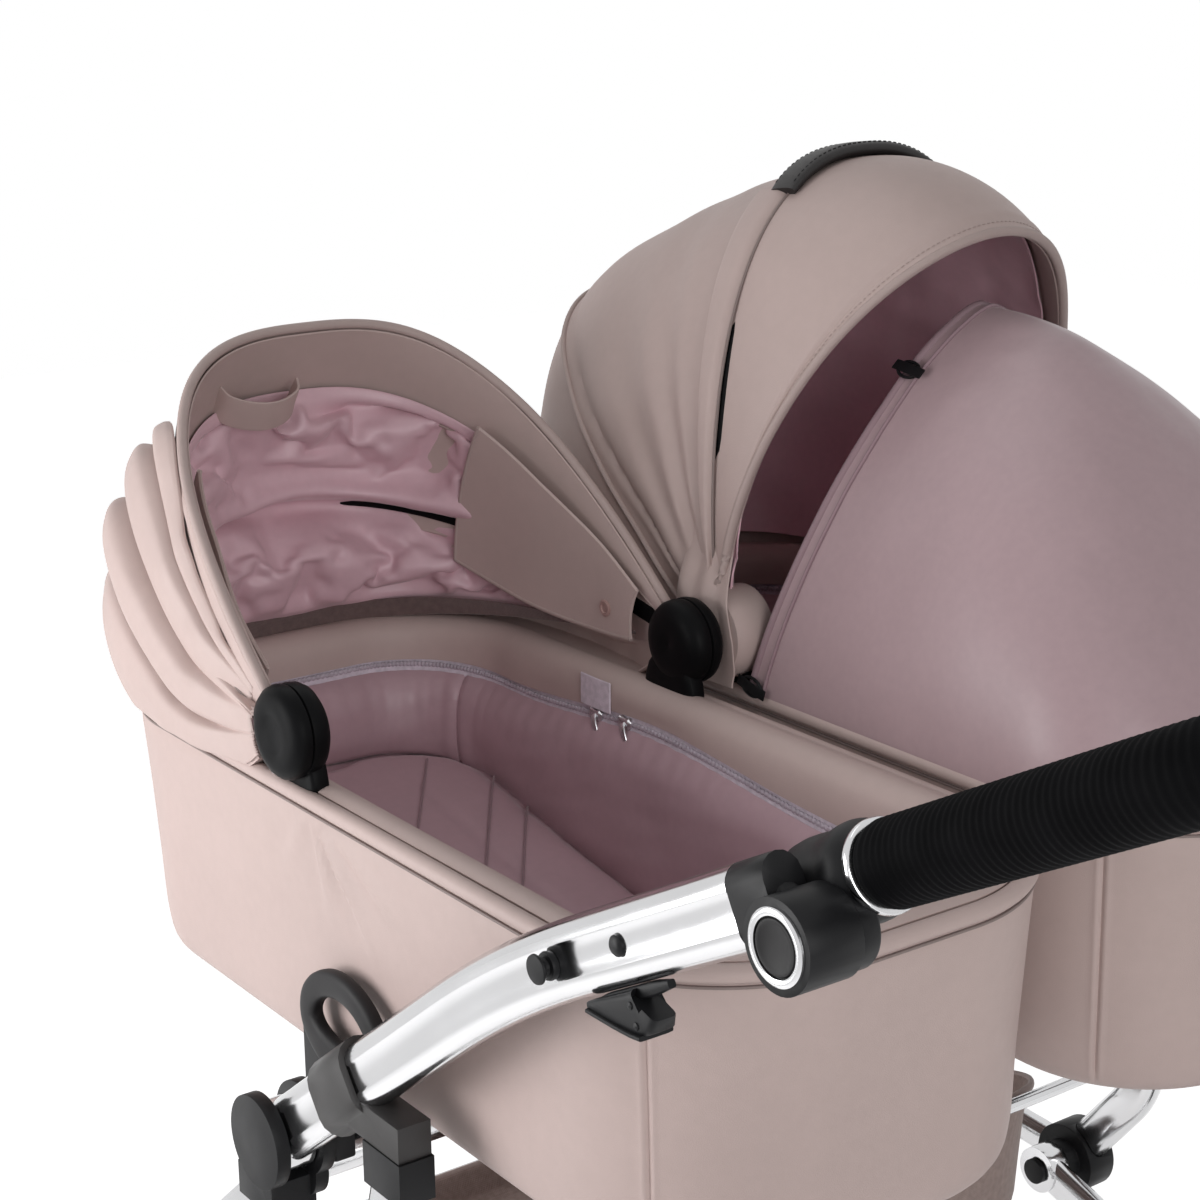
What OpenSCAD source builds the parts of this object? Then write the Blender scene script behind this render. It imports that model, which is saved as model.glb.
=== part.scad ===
// Twin pram: two carrycots side by side on one folding frame.
// Millimetres. +Z up, +Y the way it travels (the hoods are at +Y), +X to the pusher's right.
// The origin is on the floor under the middle of the whole pram.

/* [Carrycots] */
// Length of one carrycot over its rim
cot_length = 808; // [760:1:860]
// Width of one carrycot over its rim
cot_width = 370; // [345:1:395]
// Depth from the rim to the underside of the tub
cot_depth = 220; // [200:1:245]
// Corner radius of the carrycot seen from above
cot_corner = 133; // [100:1:150]
// How far the tub draws in from rim to bottom, each side
cot_taper = 12; // [9:1:14]
// Clear space between the two rims
cot_gap = 32; // [32:1:60]
// Height of the rims above the floor
rim_height = 800; // [770:1:850]
// Thickness of the mattress at its edge
mattress_thick = 34; // [26:1:44]
// How far the backrest lifts the mattress at the head end
head_rise = 62; // [0:1:70]

/* [Hoods] */
// Outside radius of the visor, from the hub axis
hood_radius = 366; // [345:1:385]
// Height of the hood hubs above the rim
hub_rise = 43; // [43:1:52]
// Angle of the main hoop of the raised hood, from level at the head end
raised_angle = 82; // [76:1:90]
// Angle of the main hoop of the folded hood
folded_angle = 12; // [11:1:16]
// Angle that the visor reaches in front of the main hoop
visor_angle = 28; // [20:1:32]

/* [Frame] */
// Height of the push arm's flat tube
arm_height = 48; // [40:1:52]
// Thickness of the push arm's flat tube
arm_thick = 26; // [22:1:28]
// Wall of every frame tube
tube_wall = 2; // [1.5:0.5:3]
// Radius of the tubes that run across the frame
cross_radius = 14; // [11:1:16]
// Distance from the fold hubs back to the handle pivots
handle_back = 583; // [560:1:620]
// Distance from the fold hubs up to the handle pivots
handle_up = 364; // [340:1:390]
// Distance from the handle pivots up to the line of the arms
hinge_drop = 26; // [18:1:30]
// Radius of the hinge drums at the arms' ends
hinge_radius = 26; // [24:1:28]
// Radius of the padded handle grip
grip_radius = 24; // [20:1:26]
// Length of the handle's straight limbs, from above the pivots to the bends
handle_limb = 215; // [200:5:260]
// Radius of the handle's two bends, at the middle of the grip
handle_bend = 110; // [90:5:130]

/* [Wheels] */
// Diameter of the rear wheels
rear_wheel = 300; // [280:1:310]
// Diameter of the front wheels
front_wheel = 230; // [210:1:234]
// Width of every tyre
tyre_width = 40; // [34:1:42]

/* [Hidden] */
$fn = 48;

// Clearances: between pieces, and round a turning pin
gap = 0.3;
run = 0.05;

// Places across the pram
cot_x = (cot_width + cot_gap) / 2;
arm_x = cot_x + cot_width / 2 + 32;
arm_in = arm_x - arm_thick / 2;
arm_out = arm_x + arm_thick / 2;
cheek = 11;
leg_in = arm_in - 40;
leg_out = leg_in + 22;

// The hood: its axis, half width and the radii of the nested cloth panels
hood_half = cot_width / 2 + 5;
hood_cloth = 4;
back_radius = hood_radius - 16;
mid_radius = hood_radius - 11;
hub_y = cot_length / 2 + 1 - sqrt(back_radius * back_radius - hub_rise * hub_rise);
hub_z = rim_height + hub_rise;
hub_radius = 35;
hub_hole = 48;
hood_power = 2.4;

// The frame seen from the side, as [y, z]
fold = [30, rim_height - 255];
pivot = [fold[0] - handle_back, fold[1] + handle_up];
arm_bend = [fold[0] - 310, fold[1] + 241];
arm_aim = pivot + [0, hinge_drop];
carrier = [fold[0], fold[1] - 32];
rear_axle_at = [-340, rear_wheel / 2];
knuckle = [10, 258];
leg_top = [-135, fold[1] + 55];
leg_bend = [-62, 350];
corner = [300, 272];
stem_y = 338;
front_axle_at = [293, front_wheel / 2];
stem_x = arm_x - 88;
rod = [-96, 418];

// The whole pram is moved so that its middle is over the origin
handle_mid = arm_aim + dir(arm_bend, arm_aim) * (handle_limb + handle_bend);
roll_out = 24;
y_front = hub_y + hood_radius + roll_out;
y_back = handle_mid[0] - grip_radius;
y_shift = -(y_front + y_back) / 2;

// Small helpers

module placed() {
    translate([0, y_shift, 0]) children();
}

function sgn(v) = v < 0 ? -1 : 1;

function dir(a, b) = (b - a) / norm(b - a);

function heading(d) = atan2(d[1], d[0]);

// A flat oval: thickness w along the first axis, height h along the second
function oval(w, h, n = 8) = concat(
    [for (i = [0 : n]) [w / 2 * cos(180 * i / n), (h - w) / 2 + w / 2 * sin(180 * i / n)]],
    [for (i = [0 : n]) [w / 2 * cos(180 + 180 * i / n), -(h - w) / 2 + w / 2 * sin(180 + 180 * i / n)]]);

// A flat oval tube's section, or the solid section when wall is 0
module oval_section(w, h, wall) {
    difference() {
        polygon(oval(w, h));
        if (wall > 0) polygon(oval(w - 2 * wall, h - 2 * wall));
    }
}

// A straight flat bar from a to b in the side view
module bar(a, b, w, h, wall = 0) {
    translate([0, a[0], a[1]])
        rotate([heading(b - a) - 90, 0, 0])
            linear_extrude(height = norm(b - a))
                oval_section(w, h, wall);
}

// A flat tube or bar from a to c that turns with radius r near b, as one solid
module bent_bar(a, b, c, r, w, h, wall = 0) {
    d1 = dir(a, b);
    d2 = dir(b, c);
    turn = heading(d2) - heading(d1);
    t = r * tan(abs(turn) / 2);
    q1 = b - d1 * t;
    side = turn > 0 ? 1 : -1;
    mid = q1 + side * r * [-d1[1], d1[0]];
    steps = 8;
    // Each stop holds a place and the heading there
    stops = concat([[a, heading(d1)]],
        [for (i = [0 : steps])
            let (g = heading(d1) + turn * i / steps)
            [mid + side * r * [sin(g), -cos(g)], g]],
        [[c, heading(d2)]]);
    out = [for (p = stops) ring(p, w, h)];
    in = [for (i = [len(stops) - 1 : -1 : 0]) ring(stops[i], w - 2 * wall, h - 2 * wall)];
    if (wall > 0) loft(concat(out, in), true);
    else loft(out);
}

// The oval section set across a stop
function ring(stop, w, h) = [for (q = oval(w, h))
    [-q[0], stop[0][0] - q[1] * sin(stop[1]), stop[0][1] + q[1] * cos(stop[1])]];

// A round bar along X between x0 and x1 at a side view place
module across(p, r, x0, x1) {
    translate([min(x0, x1), p[0], p[1]])
        rotate([0, 90, 0])
            cylinder(r = r, h = abs(x1 - x0));
}

// Both sides of the frame: the children are drawn on the right and mirrored to the left
module both_sides() {
    children();
    mirror([1, 0, 0]) children();
}

module on_side(s) {
    if (s > 0) children();
    else mirror([1, 0, 0]) children();
}

// A solid through a list of rings with equal counts; strips close the two ends unless it joins up
module loft(rings, joined = false) {
    n = len(rings[0]);
    m = len(rings);
    half = floor(n / 2);
    last = (m - 1) * n;
    points = [for (ring = rings) for (p = ring) p];
    walls = [for (i = [0 : (joined ? m - 1 : m - 2)]) for (j = [0 : n - 1])
        let (a = i * n + j, b = i * n + (j + 1) % n, k = ((i + 1) % m) * n)
        each [[a, k + j, b], [b, k + j, k + (j + 1) % n]]];
    ends = joined ? [] : [for (j = [0 : half - 2])
        each [[j, j + 1, n - 1 - j], [j + 1, n - 2 - j, n - 1 - j],
            [last + j, last + n - 1 - j, last + j + 1], [last + j + 1, last + n - 1 - j, last + n - 2 - j]]];
    polyhedron(points = points, faces = concat(walls, ends), convexity = 6);
}

// The rounded plan of the carrycot, drawn in by d on every side, at height z
function plan(d, z, y_add = 0) =
    let (r = max(cot_corner - d, 20), a = cot_width / 2 - d - r, b = cot_length / 2 - d - r)
    [for (q = [0 : 3]) for (i = [0 : 7])
        let (t = 90 * q + 90 * i / 7, sx = (q == 0 || q == 3) ? 1 : -1, sy = q < 2 ? 1 : -1)
        [sx * a + r * cos(t), sy * b + r * sin(t) + y_add, z]];

// Half width of that plan at y
function plan_half(d, y) =
    let (r = max(cot_corner - d, 20), b = cot_length / 2 - d - r, over = max(abs(y) - b, 0))
    cot_width / 2 - d - r + sqrt(max(r * r - over * over, 0));

// How far the tub has drawn in at height z
function inset(z) = cot_taper * (rim_height - z) / cot_depth;

// The hood's arch as [x, r] for a given outside radius and half width
function arch(half, radius, count, low = hub_hole) =
    let (start = asin(pow(low / radius, hood_power / 2)))
    [for (i = [0 : count])
        let (t = start + (180 - 2 * start) * i / count)
        [half * sgn(cos(t)) * pow(abs(cos(t)), 2 / hood_power), radius * pow(sin(t), 2 / hood_power)]];

// A cloth panel of the hood, turned about the hub axis from angle a0 to a1
module hood_panel(radius, a0, a1) {
    step = hood_radius - radius;
    outer = arch(hood_half - step, radius, 28);
    inner = arch(hood_half - step - hood_cloth, radius - hood_cloth, 28);
    loop = concat(outer, [for (i = [len(inner) - 1 : -1 : 0]) inner[i]]);
    at_hub() rotate([a0, 0, 0]) rotate([90, 0, 90])
        rotate_extrude(angle = a1 - a0, $fn = 120)
            polygon([for (p = loop) [p[1], p[0]]]);
}

module at_hub() {
    translate([0, hub_y, hub_z]) children();
}

module at_cot(s) {
    translate([s * cot_x, 0, 0]) children();
}

// Frame

// The socket shapes below are cut with the same bars, a little larger
module strut_bar(grow = 0, wall = 0) {
    bar([fold[0] + 14, fold[1] - 44], corner - [6, -8], 20 + grow, 34 + grow, wall);
}

leg_end = knuckle - [4, -6];

module leg_cut() {
    bar(leg_top, leg_bend, 22.2, 38.2);
    bar(leg_bend, leg_end, 22.2, 38.2);
}

module base_bar(grow = 0, wall = 0) {
    bar(knuckle + [14, 0], corner - [38, 4], 20 + grow, 32 + grow, wall);
}

arm_top = arm_aim + dir(arm_aim, arm_bend) * 54;

module arm_cut() {
    bar(arm_top, arm_bend, arm_thick + 0.2, arm_height + 0.2);
    bar(arm_bend, fold, arm_thick + 0.2, arm_height + 0.2);
}

module front_struts() {
    placed() color([0.83, 0.83, 0.82]) both_sides() translate([arm_x, 0, 0]) strut_bar(0, tube_wall);
}

module leg_tubes() {
    placed() color([0.83, 0.83, 0.82]) both_sides() translate([arm_x, 0, 0])
        bent_bar(leg_top, leg_bend, leg_end, 110, 22, 38, tube_wall);
}

module base_tubes() {
    placed() color([0.83, 0.83, 0.82]) both_sides() translate([arm_x, 0, 0]) base_bar(0, tube_wall);
}

// A fork of two cheeks with the fold pin, and the block that takes the strut
module fold_hubs() {
    placed() color([0.09, 0.09, 0.1]) both_sides() difference() {
        union() {
            across(fold, 36, arm_in - cheek - 0.5, arm_in - 0.5);
            across(carrier, 22, arm_in - cheek - 0.5, arm_in - 0.5);
            across(fold, 36, arm_out + 0.5, arm_out + cheek + 0.5);
            across(fold, 6, arm_in - cheek, arm_out + cheek);
            translate([arm_in - cheek / 2, fold[0] - 12, fold[1] - 60])
                cube([arm_thick + cheek, 52, 27]);
        }
        translate([arm_x, 0, 0]) strut_bar(0.2);
    }
}

// Cast joints: where leg, base tube and rear leg meet, at the front corners, and the rests under the arms
module frame_knuckles() {
    placed() color([0.09, 0.09, 0.1]) both_sides() {
        difference() {
            union() {
                across(knuckle, 34, arm_x - 16, arm_x + 16);
                across(knuckle, 20, leg_out + gap, arm_x - 16);
                across(knuckle, 7, leg_in - gap, leg_out + gap);
                across(knuckle, 12, leg_in - 5, leg_in - gap);
            }
            translate([arm_x, 0, 0]) {
                leg_cut();
                base_bar(0.2);
            }
        }
        difference() {
            translate([arm_x - 17, corner[0] - 64, corner[1] - 24]) cube([34, 90, 54]);
            translate([arm_x, 0, 0]) {
                base_bar(0.2);
                strut_bar(0.2);
            }
            across(corner, cross_radius + 0.1, 0, arm_x - 10.4);
        }
        difference() {
            translate([arm_x - 14, leg_top[0] - 24, leg_top[1] - 26]) cube([28, 48, 32]);
            translate([arm_x, 0, 0]) leg_cut();
        }
    }
}

// Front tube, the tube that carries the centre socket, and the rod at the back of the basket
module cross_tubes() {
    placed() color([0.83, 0.83, 0.82]) {
        tube_across(corner, cross_radius, arm_x - 10.5);
        tube_across(carrier, cross_radius, arm_in - cheek - 0.5 - gap);
        tube_across(rod, 6, arm_x - 11 - gap);
    }
}

module tube_across(p, r, half) {
    difference() {
        across(p, r, -half, half);
        across(p, r - tube_wall, -half - 1, half + 1);
    }
}

// The carrycot's tongues drop into these from above
tongue_in = cot_width / 2 - 5.4;
tongue_thick = 4;
socket_top = fold[1] + 17;
tongue_y = 50;

module tongue_slot(x) {
    translate([x - gap, fold[0] - tongue_y / 2 - gap, socket_top - 24])
        cube([tongue_thick + 2 * gap, tongue_y + 2 * gap, 30]);
}

module outer_sockets() {
    placed() color([0.09, 0.09, 0.1]) both_sides() difference() {
        translate([cot_x + tongue_in - 6, fold[0] - 31, socket_top - 37])
            cube([arm_in - cheek - 0.5 - gap - cot_x - tongue_in + 6, 62, 37]);
        tongue_slot(cot_x + tongue_in);
        across(carrier, cross_radius + 0.1, 0, arm_in);
    }
}

module centre_socket() {
    inner = cot_x - tongue_in - tongue_thick;
    placed() color([0.09, 0.09, 0.1]) difference() {
        translate([-inner - 11, fold[0] - 31, carrier[1] - 20])
            cube([2 * inner + 22, 62, socket_top - carrier[1] + 20]);
        tongue_slot(inner);
        tongue_slot(-inner - tongue_thick);
        across(carrier, cross_radius + 0.1, -inner - 20, inner + 20);
    }
}

// Castor housings clamped on the front tube
module stem_housings() {
    low = front_wheel + 24;
    placed() color([0.09, 0.09, 0.1]) both_sides() translate([stem_x, 0, 0]) difference() {
        union() {
            translate([0, stem_y, low]) cylinder(r = 20, h = 48);
            translate([-18, corner[0] - 20, corner[1] - 19]) cube([36, stem_y - corner[0] + 20, 38]);
        }
        across(corner, cross_radius + 0.1, -30, 30);
        translate([0, stem_y, low - 40]) cylinder(r = 8 + run, h = 120);
    }
}

// Shopping basket slung between the rear rod and the front tube
module basket() {
    half = stem_x - 40;
    y0 = rod[0] + 6 + gap;
    y1 = corner[0] - cross_radius - gap;
    low = front_wheel + 16;
    placed() color([0.62, 0.5, 0.46]) difference() {
        basket_block(half, y0, y1, low, 0);
        basket_block(half, y0, y1, low, 4);
    }
}

module basket_block(half, y0, y1, low, d) {
    translate([-half + d, 0, 0]) rotate([90, 0, 90]) linear_extrude(height = 2 * (half - d))
        polygon([[y0 + d, rod[1] + d], [y0 + d, low + 22], [y0 + 22, low + d], [y1 - 30, low + d],
            [y1 - d, low + 34], [y1 - d, corner[1] + 18 + d], [y1 - 60, corner[1] + 50 + d]]);
}

// Rear frame

module rear_legs() {
    d = dir(knuckle, rear_axle_at);
    placed() color([0.83, 0.83, 0.82]) both_sides() difference() {
        union() {
            across(knuckle, 22, leg_in, leg_out);
            across(rear_axle_at, 20, leg_in, leg_out);
            translate([(leg_in + leg_out) / 2, 0, 0])
                bar(knuckle + d * 12, rear_axle_at - d * 10, 18, 36);
        }
        across(knuckle, 7 + run, leg_in - 5, leg_out + 5);
        across(rear_axle_at, 8.2, leg_in - 5, leg_out + 5);
    }
}

rear_hub_in = leg_out + 5;
rear_hub_out = rear_hub_in + 44;

// One axle: a tube between the legs, turned down for the wheels, with end flanges
module rear_axle() {
    placed() color([0.6, 0.6, 0.62]) union() {
        across(rear_axle_at, 11, -leg_in + gap, leg_in - gap);
        across(rear_axle_at, 8, -rear_hub_out - 5, rear_hub_out + 5);
        across(rear_axle_at, 12, rear_hub_out + gap, rear_hub_out + 5);
        across(rear_axle_at, 12, -rear_hub_out - 5, -rear_hub_out - gap);
        across(rear_axle_at, 12, leg_out + 0.1, leg_out + 4);
        across(rear_axle_at, 12, -leg_out - 4, -leg_out - 0.1);
    }
}

// Wheels, drawn about their own axle along X

module tyre(r) {
    h = tyre_width / 2;
    rotate([0, 90, 0]) rotate_extrude($fn = 96)
        polygon([[r - 27, -h * 0.62], [r - 14, -h], [r - 5, -h * 0.86], [r, -h * 0.42], [r, h * 0.42],
            [r - 5, h * 0.86], [r - 14, h], [r - 27, h * 0.62]]);
}

module rim(r, half, bore, spokes) {
    rotate([0, 90, 0]) difference() {
        union() {
            rotate_extrude($fn = 96)
                polygon([[r - 38, -12], [r - 27 - gap, -13], [r - 27 - gap, 13], [r - 38, 12]]);
            translate([0, 0, -half]) cylinder(r = 23, h = 2 * half);
            for (i = [0 : spokes - 1])
                rotate([0, 0, 360 / spokes * i])
                    translate([18, -7, -5])
                        cube([r - 53, 14, 10]);
        }
        translate([0, 0, -half - 1]) cylinder(r = bore, h = 2 * half + 2);
    }
}

module at_rear_wheel(s) {
    placed() translate([s * (rear_hub_in + 22), rear_axle_at[0], rear_axle_at[1]]) children();
}

module at_front_wheel(s) {
    placed() translate([s * stem_x, front_axle_at[0], front_axle_at[1]]) children();
}

module rear_tyre_left() { color([0.06, 0.06, 0.06]) at_rear_wheel(-1) tyre(rear_wheel / 2); }

module rear_tyre_right() { color([0.06, 0.06, 0.06]) at_rear_wheel(1) tyre(rear_wheel / 2); }

module rear_rim_left() { color([0.75, 0.75, 0.74]) at_rear_wheel(-1) rim(rear_wheel / 2, 22, 8 + run, 8); }

module rear_rim_right() { color([0.75, 0.75, 0.74]) at_rear_wheel(1) rim(rear_wheel / 2, 22, 8 + run, 8); }

module front_tyre_left() { color([0.06, 0.06, 0.06]) at_front_wheel(-1) tyre(front_wheel / 2); }

module front_tyre_right() { color([0.06, 0.06, 0.06]) at_front_wheel(1) tyre(front_wheel / 2); }

module front_rim_left() { color([0.75, 0.75, 0.74]) at_front_wheel(-1) rim(front_wheel / 2, 21, 6 + run, 7); }

module front_rim_right() { color([0.75, 0.75, 0.74]) at_front_wheel(1) rim(front_wheel / 2, 21, 6 + run, 7); }

// A castor fork: stem, crown, two blades and the wheel's pin
module fork(s) {
    crown = front_wheel + 8;
    inner = tyre_width / 2 + 3;
    stem_top = front_wheel + 24 + 48;
    placed() translate([s * stem_x, 0, 0]) {
        translate([0, stem_y, crown]) cylinder(r = 8, h = stem_top + 4 - crown);
        translate([0, stem_y, stem_top + gap]) cylinder(r = 13, h = 5);
        translate([-inner - 7, stem_y - 34, crown]) cube([2 * inner + 14, 52, 15]);
        across(front_axle_at, 6, -inner - 3, inner + 3);
        for (m = [-1, 1]) translate([m * (inner + 3.5), 0, 0]) {
            bar([stem_y - 14, crown + 6], front_axle_at, 7, 34);
            across(front_axle_at, 17, -3.5, 3.5);
        }
    }
}

module fork_left() { color([0.09, 0.09, 0.1]) fork(-1); }

module fork_right() { color([0.09, 0.09, 0.1]) fork(1); }

// Push frame

module arm(s) {
    placed() color([0.83, 0.83, 0.82]) on_side(s) difference() {
        union() {
            translate([arm_x, 0, 0]) bent_bar(arm_top, arm_bend, fold, 1100, arm_thick, arm_height, tube_wall);
            across(fold, arm_height / 2 + 4, arm_in, arm_out);
        }
        across(fold, 6 + run, arm_in - 5, arm_out + 5);
    }
}

module arm_left() { arm(-1); }

module arm_right() { arm(1); }

// A place on the lower straight of the arm, d from the fold hub, with Z along the arm towards the handle
lower = dir(fold, arm_bend);
upper = dir(arm_bend, arm_top);

module on_lower(d) {
    translate([arm_x, fold[0] + lower[0] * d, fold[1] + lower[1] * d])
        rotate([heading(lower) - 90, 0, 0])
            children();
}

module on_upper(d) {
    translate([arm_x, arm_bend[0] + upper[0] * d, arm_bend[1] + upper[1] * d])
        rotate([heading(upper) - 90, 0, 0])
            children();
}

// Collars on the arms; the foot of each rests on the post at the top of the leg tube
module arm_collars() {
    placed() color([0.09, 0.09, 0.1]) both_sides() difference() {
        union() {
            on_lower(104) linear_extrude(height = 58) polygon(oval(arm_thick + 10, arm_height + 10));
            translate([arm_x - 13, leg_top[0] - 22, leg_top[1] + 6 + gap]) cube([26, 66, 26]);
        }
        translate([arm_x, 0, 0]) arm_cut();
    }
}

// Upper ends of the arms: a plug in the tube, a cap, the hinge drum under it, its pin and a recess for the push button
pin_radius = 7;
knuckle_wide = 14;
button_radius = hinge_radius - 10;

module arm_ends() {
    cap_end = arm_top + upper * 34;
    bore = 2 * (tube_wall + gap);
    placed() color([0.09, 0.09, 0.1]) both_sides() difference() {
        union() {
            across(pivot, hinge_radius, arm_in, arm_out + 10);
            across(pivot, pin_radius, arm_in - knuckle_wide, arm_in + 1);
            translate([arm_x, 0, 0]) {
                bar(arm_top + upper * gap, cap_end, arm_thick, arm_height);
                bar(arm_top - upper * 30, arm_top + upper, arm_thick - bore, arm_height - bore);
                bar(cap_end - upper * 20, pivot, arm_thick - 1, hinge_radius + 10);
            }
        }
        across(pivot, button_radius, arm_out + 3, arm_out + 20);
    }
}

// Distances from the bend along the arm
stud_at = 67;
rivet_at = 141;
trigger_at = 92;

// Bag studs, rivets and the rails that guide the fold triggers
module arm_fittings() {
    low = arm_height / 2;
    placed() color([0.12, 0.12, 0.13]) both_sides() {
        on_upper(stud_at) rotate([0, 90, 0]) {
            translate([0, 0, arm_thick / 2 + 0.1]) cylinder(r = 8, h = 4);
            translate([0, 0, arm_thick / 2 + 4]) cylinder(r = 5.5, h = 4);
            translate([0, 0, arm_thick / 2 + 8]) cylinder(r = 10, h = 3);
        }
        on_upper(rivet_at) rotate([0, 90, 0])
            translate([0, 0, arm_thick / 2 + 0.1]) cylinder(r1 = 10, r2 = 7, h = 3);
        on_upper(trigger_at - 4) translate([-4, -low - 9.1, 0]) cube([8, 9, 76]);
    }
}

// Fold triggers: grooved blocks that slide up the arm on those rails
module trigger(s) {
    low = arm_height / 2;
    placed() color([0.1, 0.1, 0.11]) on_side(s) on_upper(trigger_at) difference() {
        translate([-10, -low - 31, 0]) cube([20, 30, 54]);
        translate([-4 - gap, -low - 10, -1]) cube([8 + 2 * gap, 11, 80]);
        translate([-11, -low - 28, 27]) rotate([0, 90, 0]) cylinder(r = 15, h = 22);
    }
}

module trigger_left() { trigger(-1); }

module trigger_right() { trigger(1); }

// Handle: a U in line with the arms, with an elbow over each hinge, a tube inside, the padded grip and a ring at each end
handle_x = arm_in - grip_radius - 2;
elbow_front = -62;
elbow_back = 9;
core_start = -20;
ring_wide = 6;

// The handle's own plane: y runs from above the pivots along the limbs
module on_handle() {
    translate([0, arm_aim[0], arm_aim[1]]) rotate([heading(upper), 0, 0]) children();
}

// A round bar along one limb, solid or with a bore
module limb_bar(r, hole, y0, y1) {
    translate([handle_x, y0, 0]) rotate([-90, 0, 0]) difference() {
        cylinder(r = r, h = y1 - y0);
        if (hole > 0) translate([0, 0, -1]) cylinder(r = hole, h = y1 - y0 + 2);
    }
}

// Solid bar along the whole U from a distance along its limbs
module handle_loop(r, start) {
    half = handle_x - handle_bend;
    both_sides() {
        limb_bar(r, 0, start, handle_limb);
        translate([half, handle_limb, 0])
            rotate_extrude(angle = 90, $fn = 180) translate([handle_bend, 0]) circle(r = r);
    }
    translate([-half, handle_limb + handle_bend, 0]) rotate([0, 90, 0]) cylinder(r = r, h = 2 * half);
}

// A hollow bar along the U
module handle_tube(r, hole, start) {
    on_handle() difference() {
        handle_loop(r, start);
        handle_loop(hole, start - 1);
    }
}

module handle_elbows() {
    outline = [[0, elbow_front], [13, elbow_front + 1], [20, elbow_front + 5], [24, elbow_front + 12],
        [grip_radius + 1, elbow_front + 20], [grip_radius + 1, elbow_back], [0, elbow_back]];
    placed() color([0.08, 0.08, 0.08]) both_sides() difference() {
        union() {
            on_handle() translate([handle_x, 0, 0]) rotate([-90, 0, 0]) rotate_extrude() polygon(outline);
            across(pivot, hinge_radius - 2, arm_in - knuckle_wide, arm_in - gap);
        }
        on_handle() limb_bar(13.1, 0, core_start - 0.1, elbow_back + 1);
        on_handle() limb_bar(grip_radius + 2, 0, elbow_back, elbow_back + 60);
        across(pivot, pin_radius + run, arm_in - knuckle_wide - 1, arm_in + 5);
    }
}

module handle_core() {
    placed() color([0.7, 0.7, 0.7]) handle_tube(13, 11, core_start);
}

module handle_grip() {
    placed() color([0.05, 0.05, 0.05]) handle_tube(grip_radius, 13.1, elbow_back + ring_wide);
}

module grip_rings() {
    placed() color([0.83, 0.83, 0.82]) on_handle() both_sides()
        limb_bar(grip_radius + 1.5, 13.1, elbow_back, elbow_back + ring_wide);
}

// Push buttons that free the handle's tilt
module button(s) {
    placed() color([0.16, 0.16, 0.17]) on_side(s)
        across(pivot, button_radius - run, arm_out + 6.5, arm_out + 12);
}

module button_left() { button(-1); }

module button_right() { button(1); }

// A foot bar that turns on the rear axle
module brake_pedal() {
    placed() color([0.1, 0.1, 0.11]) difference() {
        union() {
            across(rear_axle_at, 18, -70, 70);
            translate([-60, rear_axle_at[0] - 78, rear_axle_at[1] + 2]) cube([120, 74, 9]);
        }
        across(rear_axle_at, 11 + run, -90, 90);
    }
}

// Carrycots

// Stiff tub with its cloth cover: one solid from the outside bottom over the rim to the inside floor
module shell(s) {
    z0 = rim_height - cot_depth;
    placed() color([0.72, 0.58, 0.54]) at_cot(s) loft([
        plan(cot_taper + 16, z0),
        plan(cot_taper + 5, z0 + 5),
        plan(inset(z0 + 18), z0 + 18),
        plan(inset(rim_height - 8), rim_height - 8),
        plan(2.5, rim_height),
        plan(9.5, rim_height),
        plan(12, rim_height - 8),
        plan(inset(z0 + 12) + 12, z0 + 12)]);
}

module shell_left() { shell(-1); }

module shell_right() { shell(1); }

// Padded lining of the side walls
module liner(s) {
    z0 = rim_height - cot_depth + 13 + mattress_thick;
    z1 = rim_height - 6;
    function d(z) = inset(z) + 12 + gap;
    placed() color([0.8, 0.68, 0.67]) at_cot(s) loft([
        plan(d(z0), z0), plan(d(z1), z1), plan(d(z1) + 6, z1 + 3), plan(d(z1) + 12, z1 - 5),
        plan(d((z0 + z1) / 2) + 15, (z0 + z1) / 2), plan(d(z0) + 12, z0)], true);
}

module liner_left() { liner(-1); }

module liner_right() { liner(1); }

// Quilted mattress with the backrest wedge under it: crown, drawn-in ends and sewn channels along it
module mattress(s) {
    z0 = rim_height - cot_depth + 12 + gap;
    d = cot_taper + 23;
    end = cot_length / 2 - d - 2;
    rows = 14;
    cols = 24;
    function lift(v) = head_rise * pow(max(0, v + 0.1) / 1.1, 1.3);
    function top(u, v) = z0 + mattress_thick - 12 + lift(v)
        + 22 * pow(1 - pow(abs(v), 8), 0.5) * pow(1 - pow(abs(u), 6), 0.5)
        - 7 * max(0, 1 - abs(abs(u) - 0.33) / 0.09) * (1 - pow(abs(v), 4));
    placed() color([0.82, 0.7, 0.69]) at_cot(s) loft([for (i = [0 : rows])
        let (v = sin(-90 + 180 * i / rows) * 0.985, y = v * end, b = plan_half(d, y))
        concat(
            [for (j = [0 : cols]) let (u = -1 + 2 * j / cols) [u * b, y, top(u, v)]],
            [for (j = [cols : -1 : 0]) let (u = -1 + 2 * j / cols) [u * (b - 4), y, z0]])]);
}

module mattress_left() { mattress(-1); }

module mattress_right() { mattress(1); }

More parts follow.
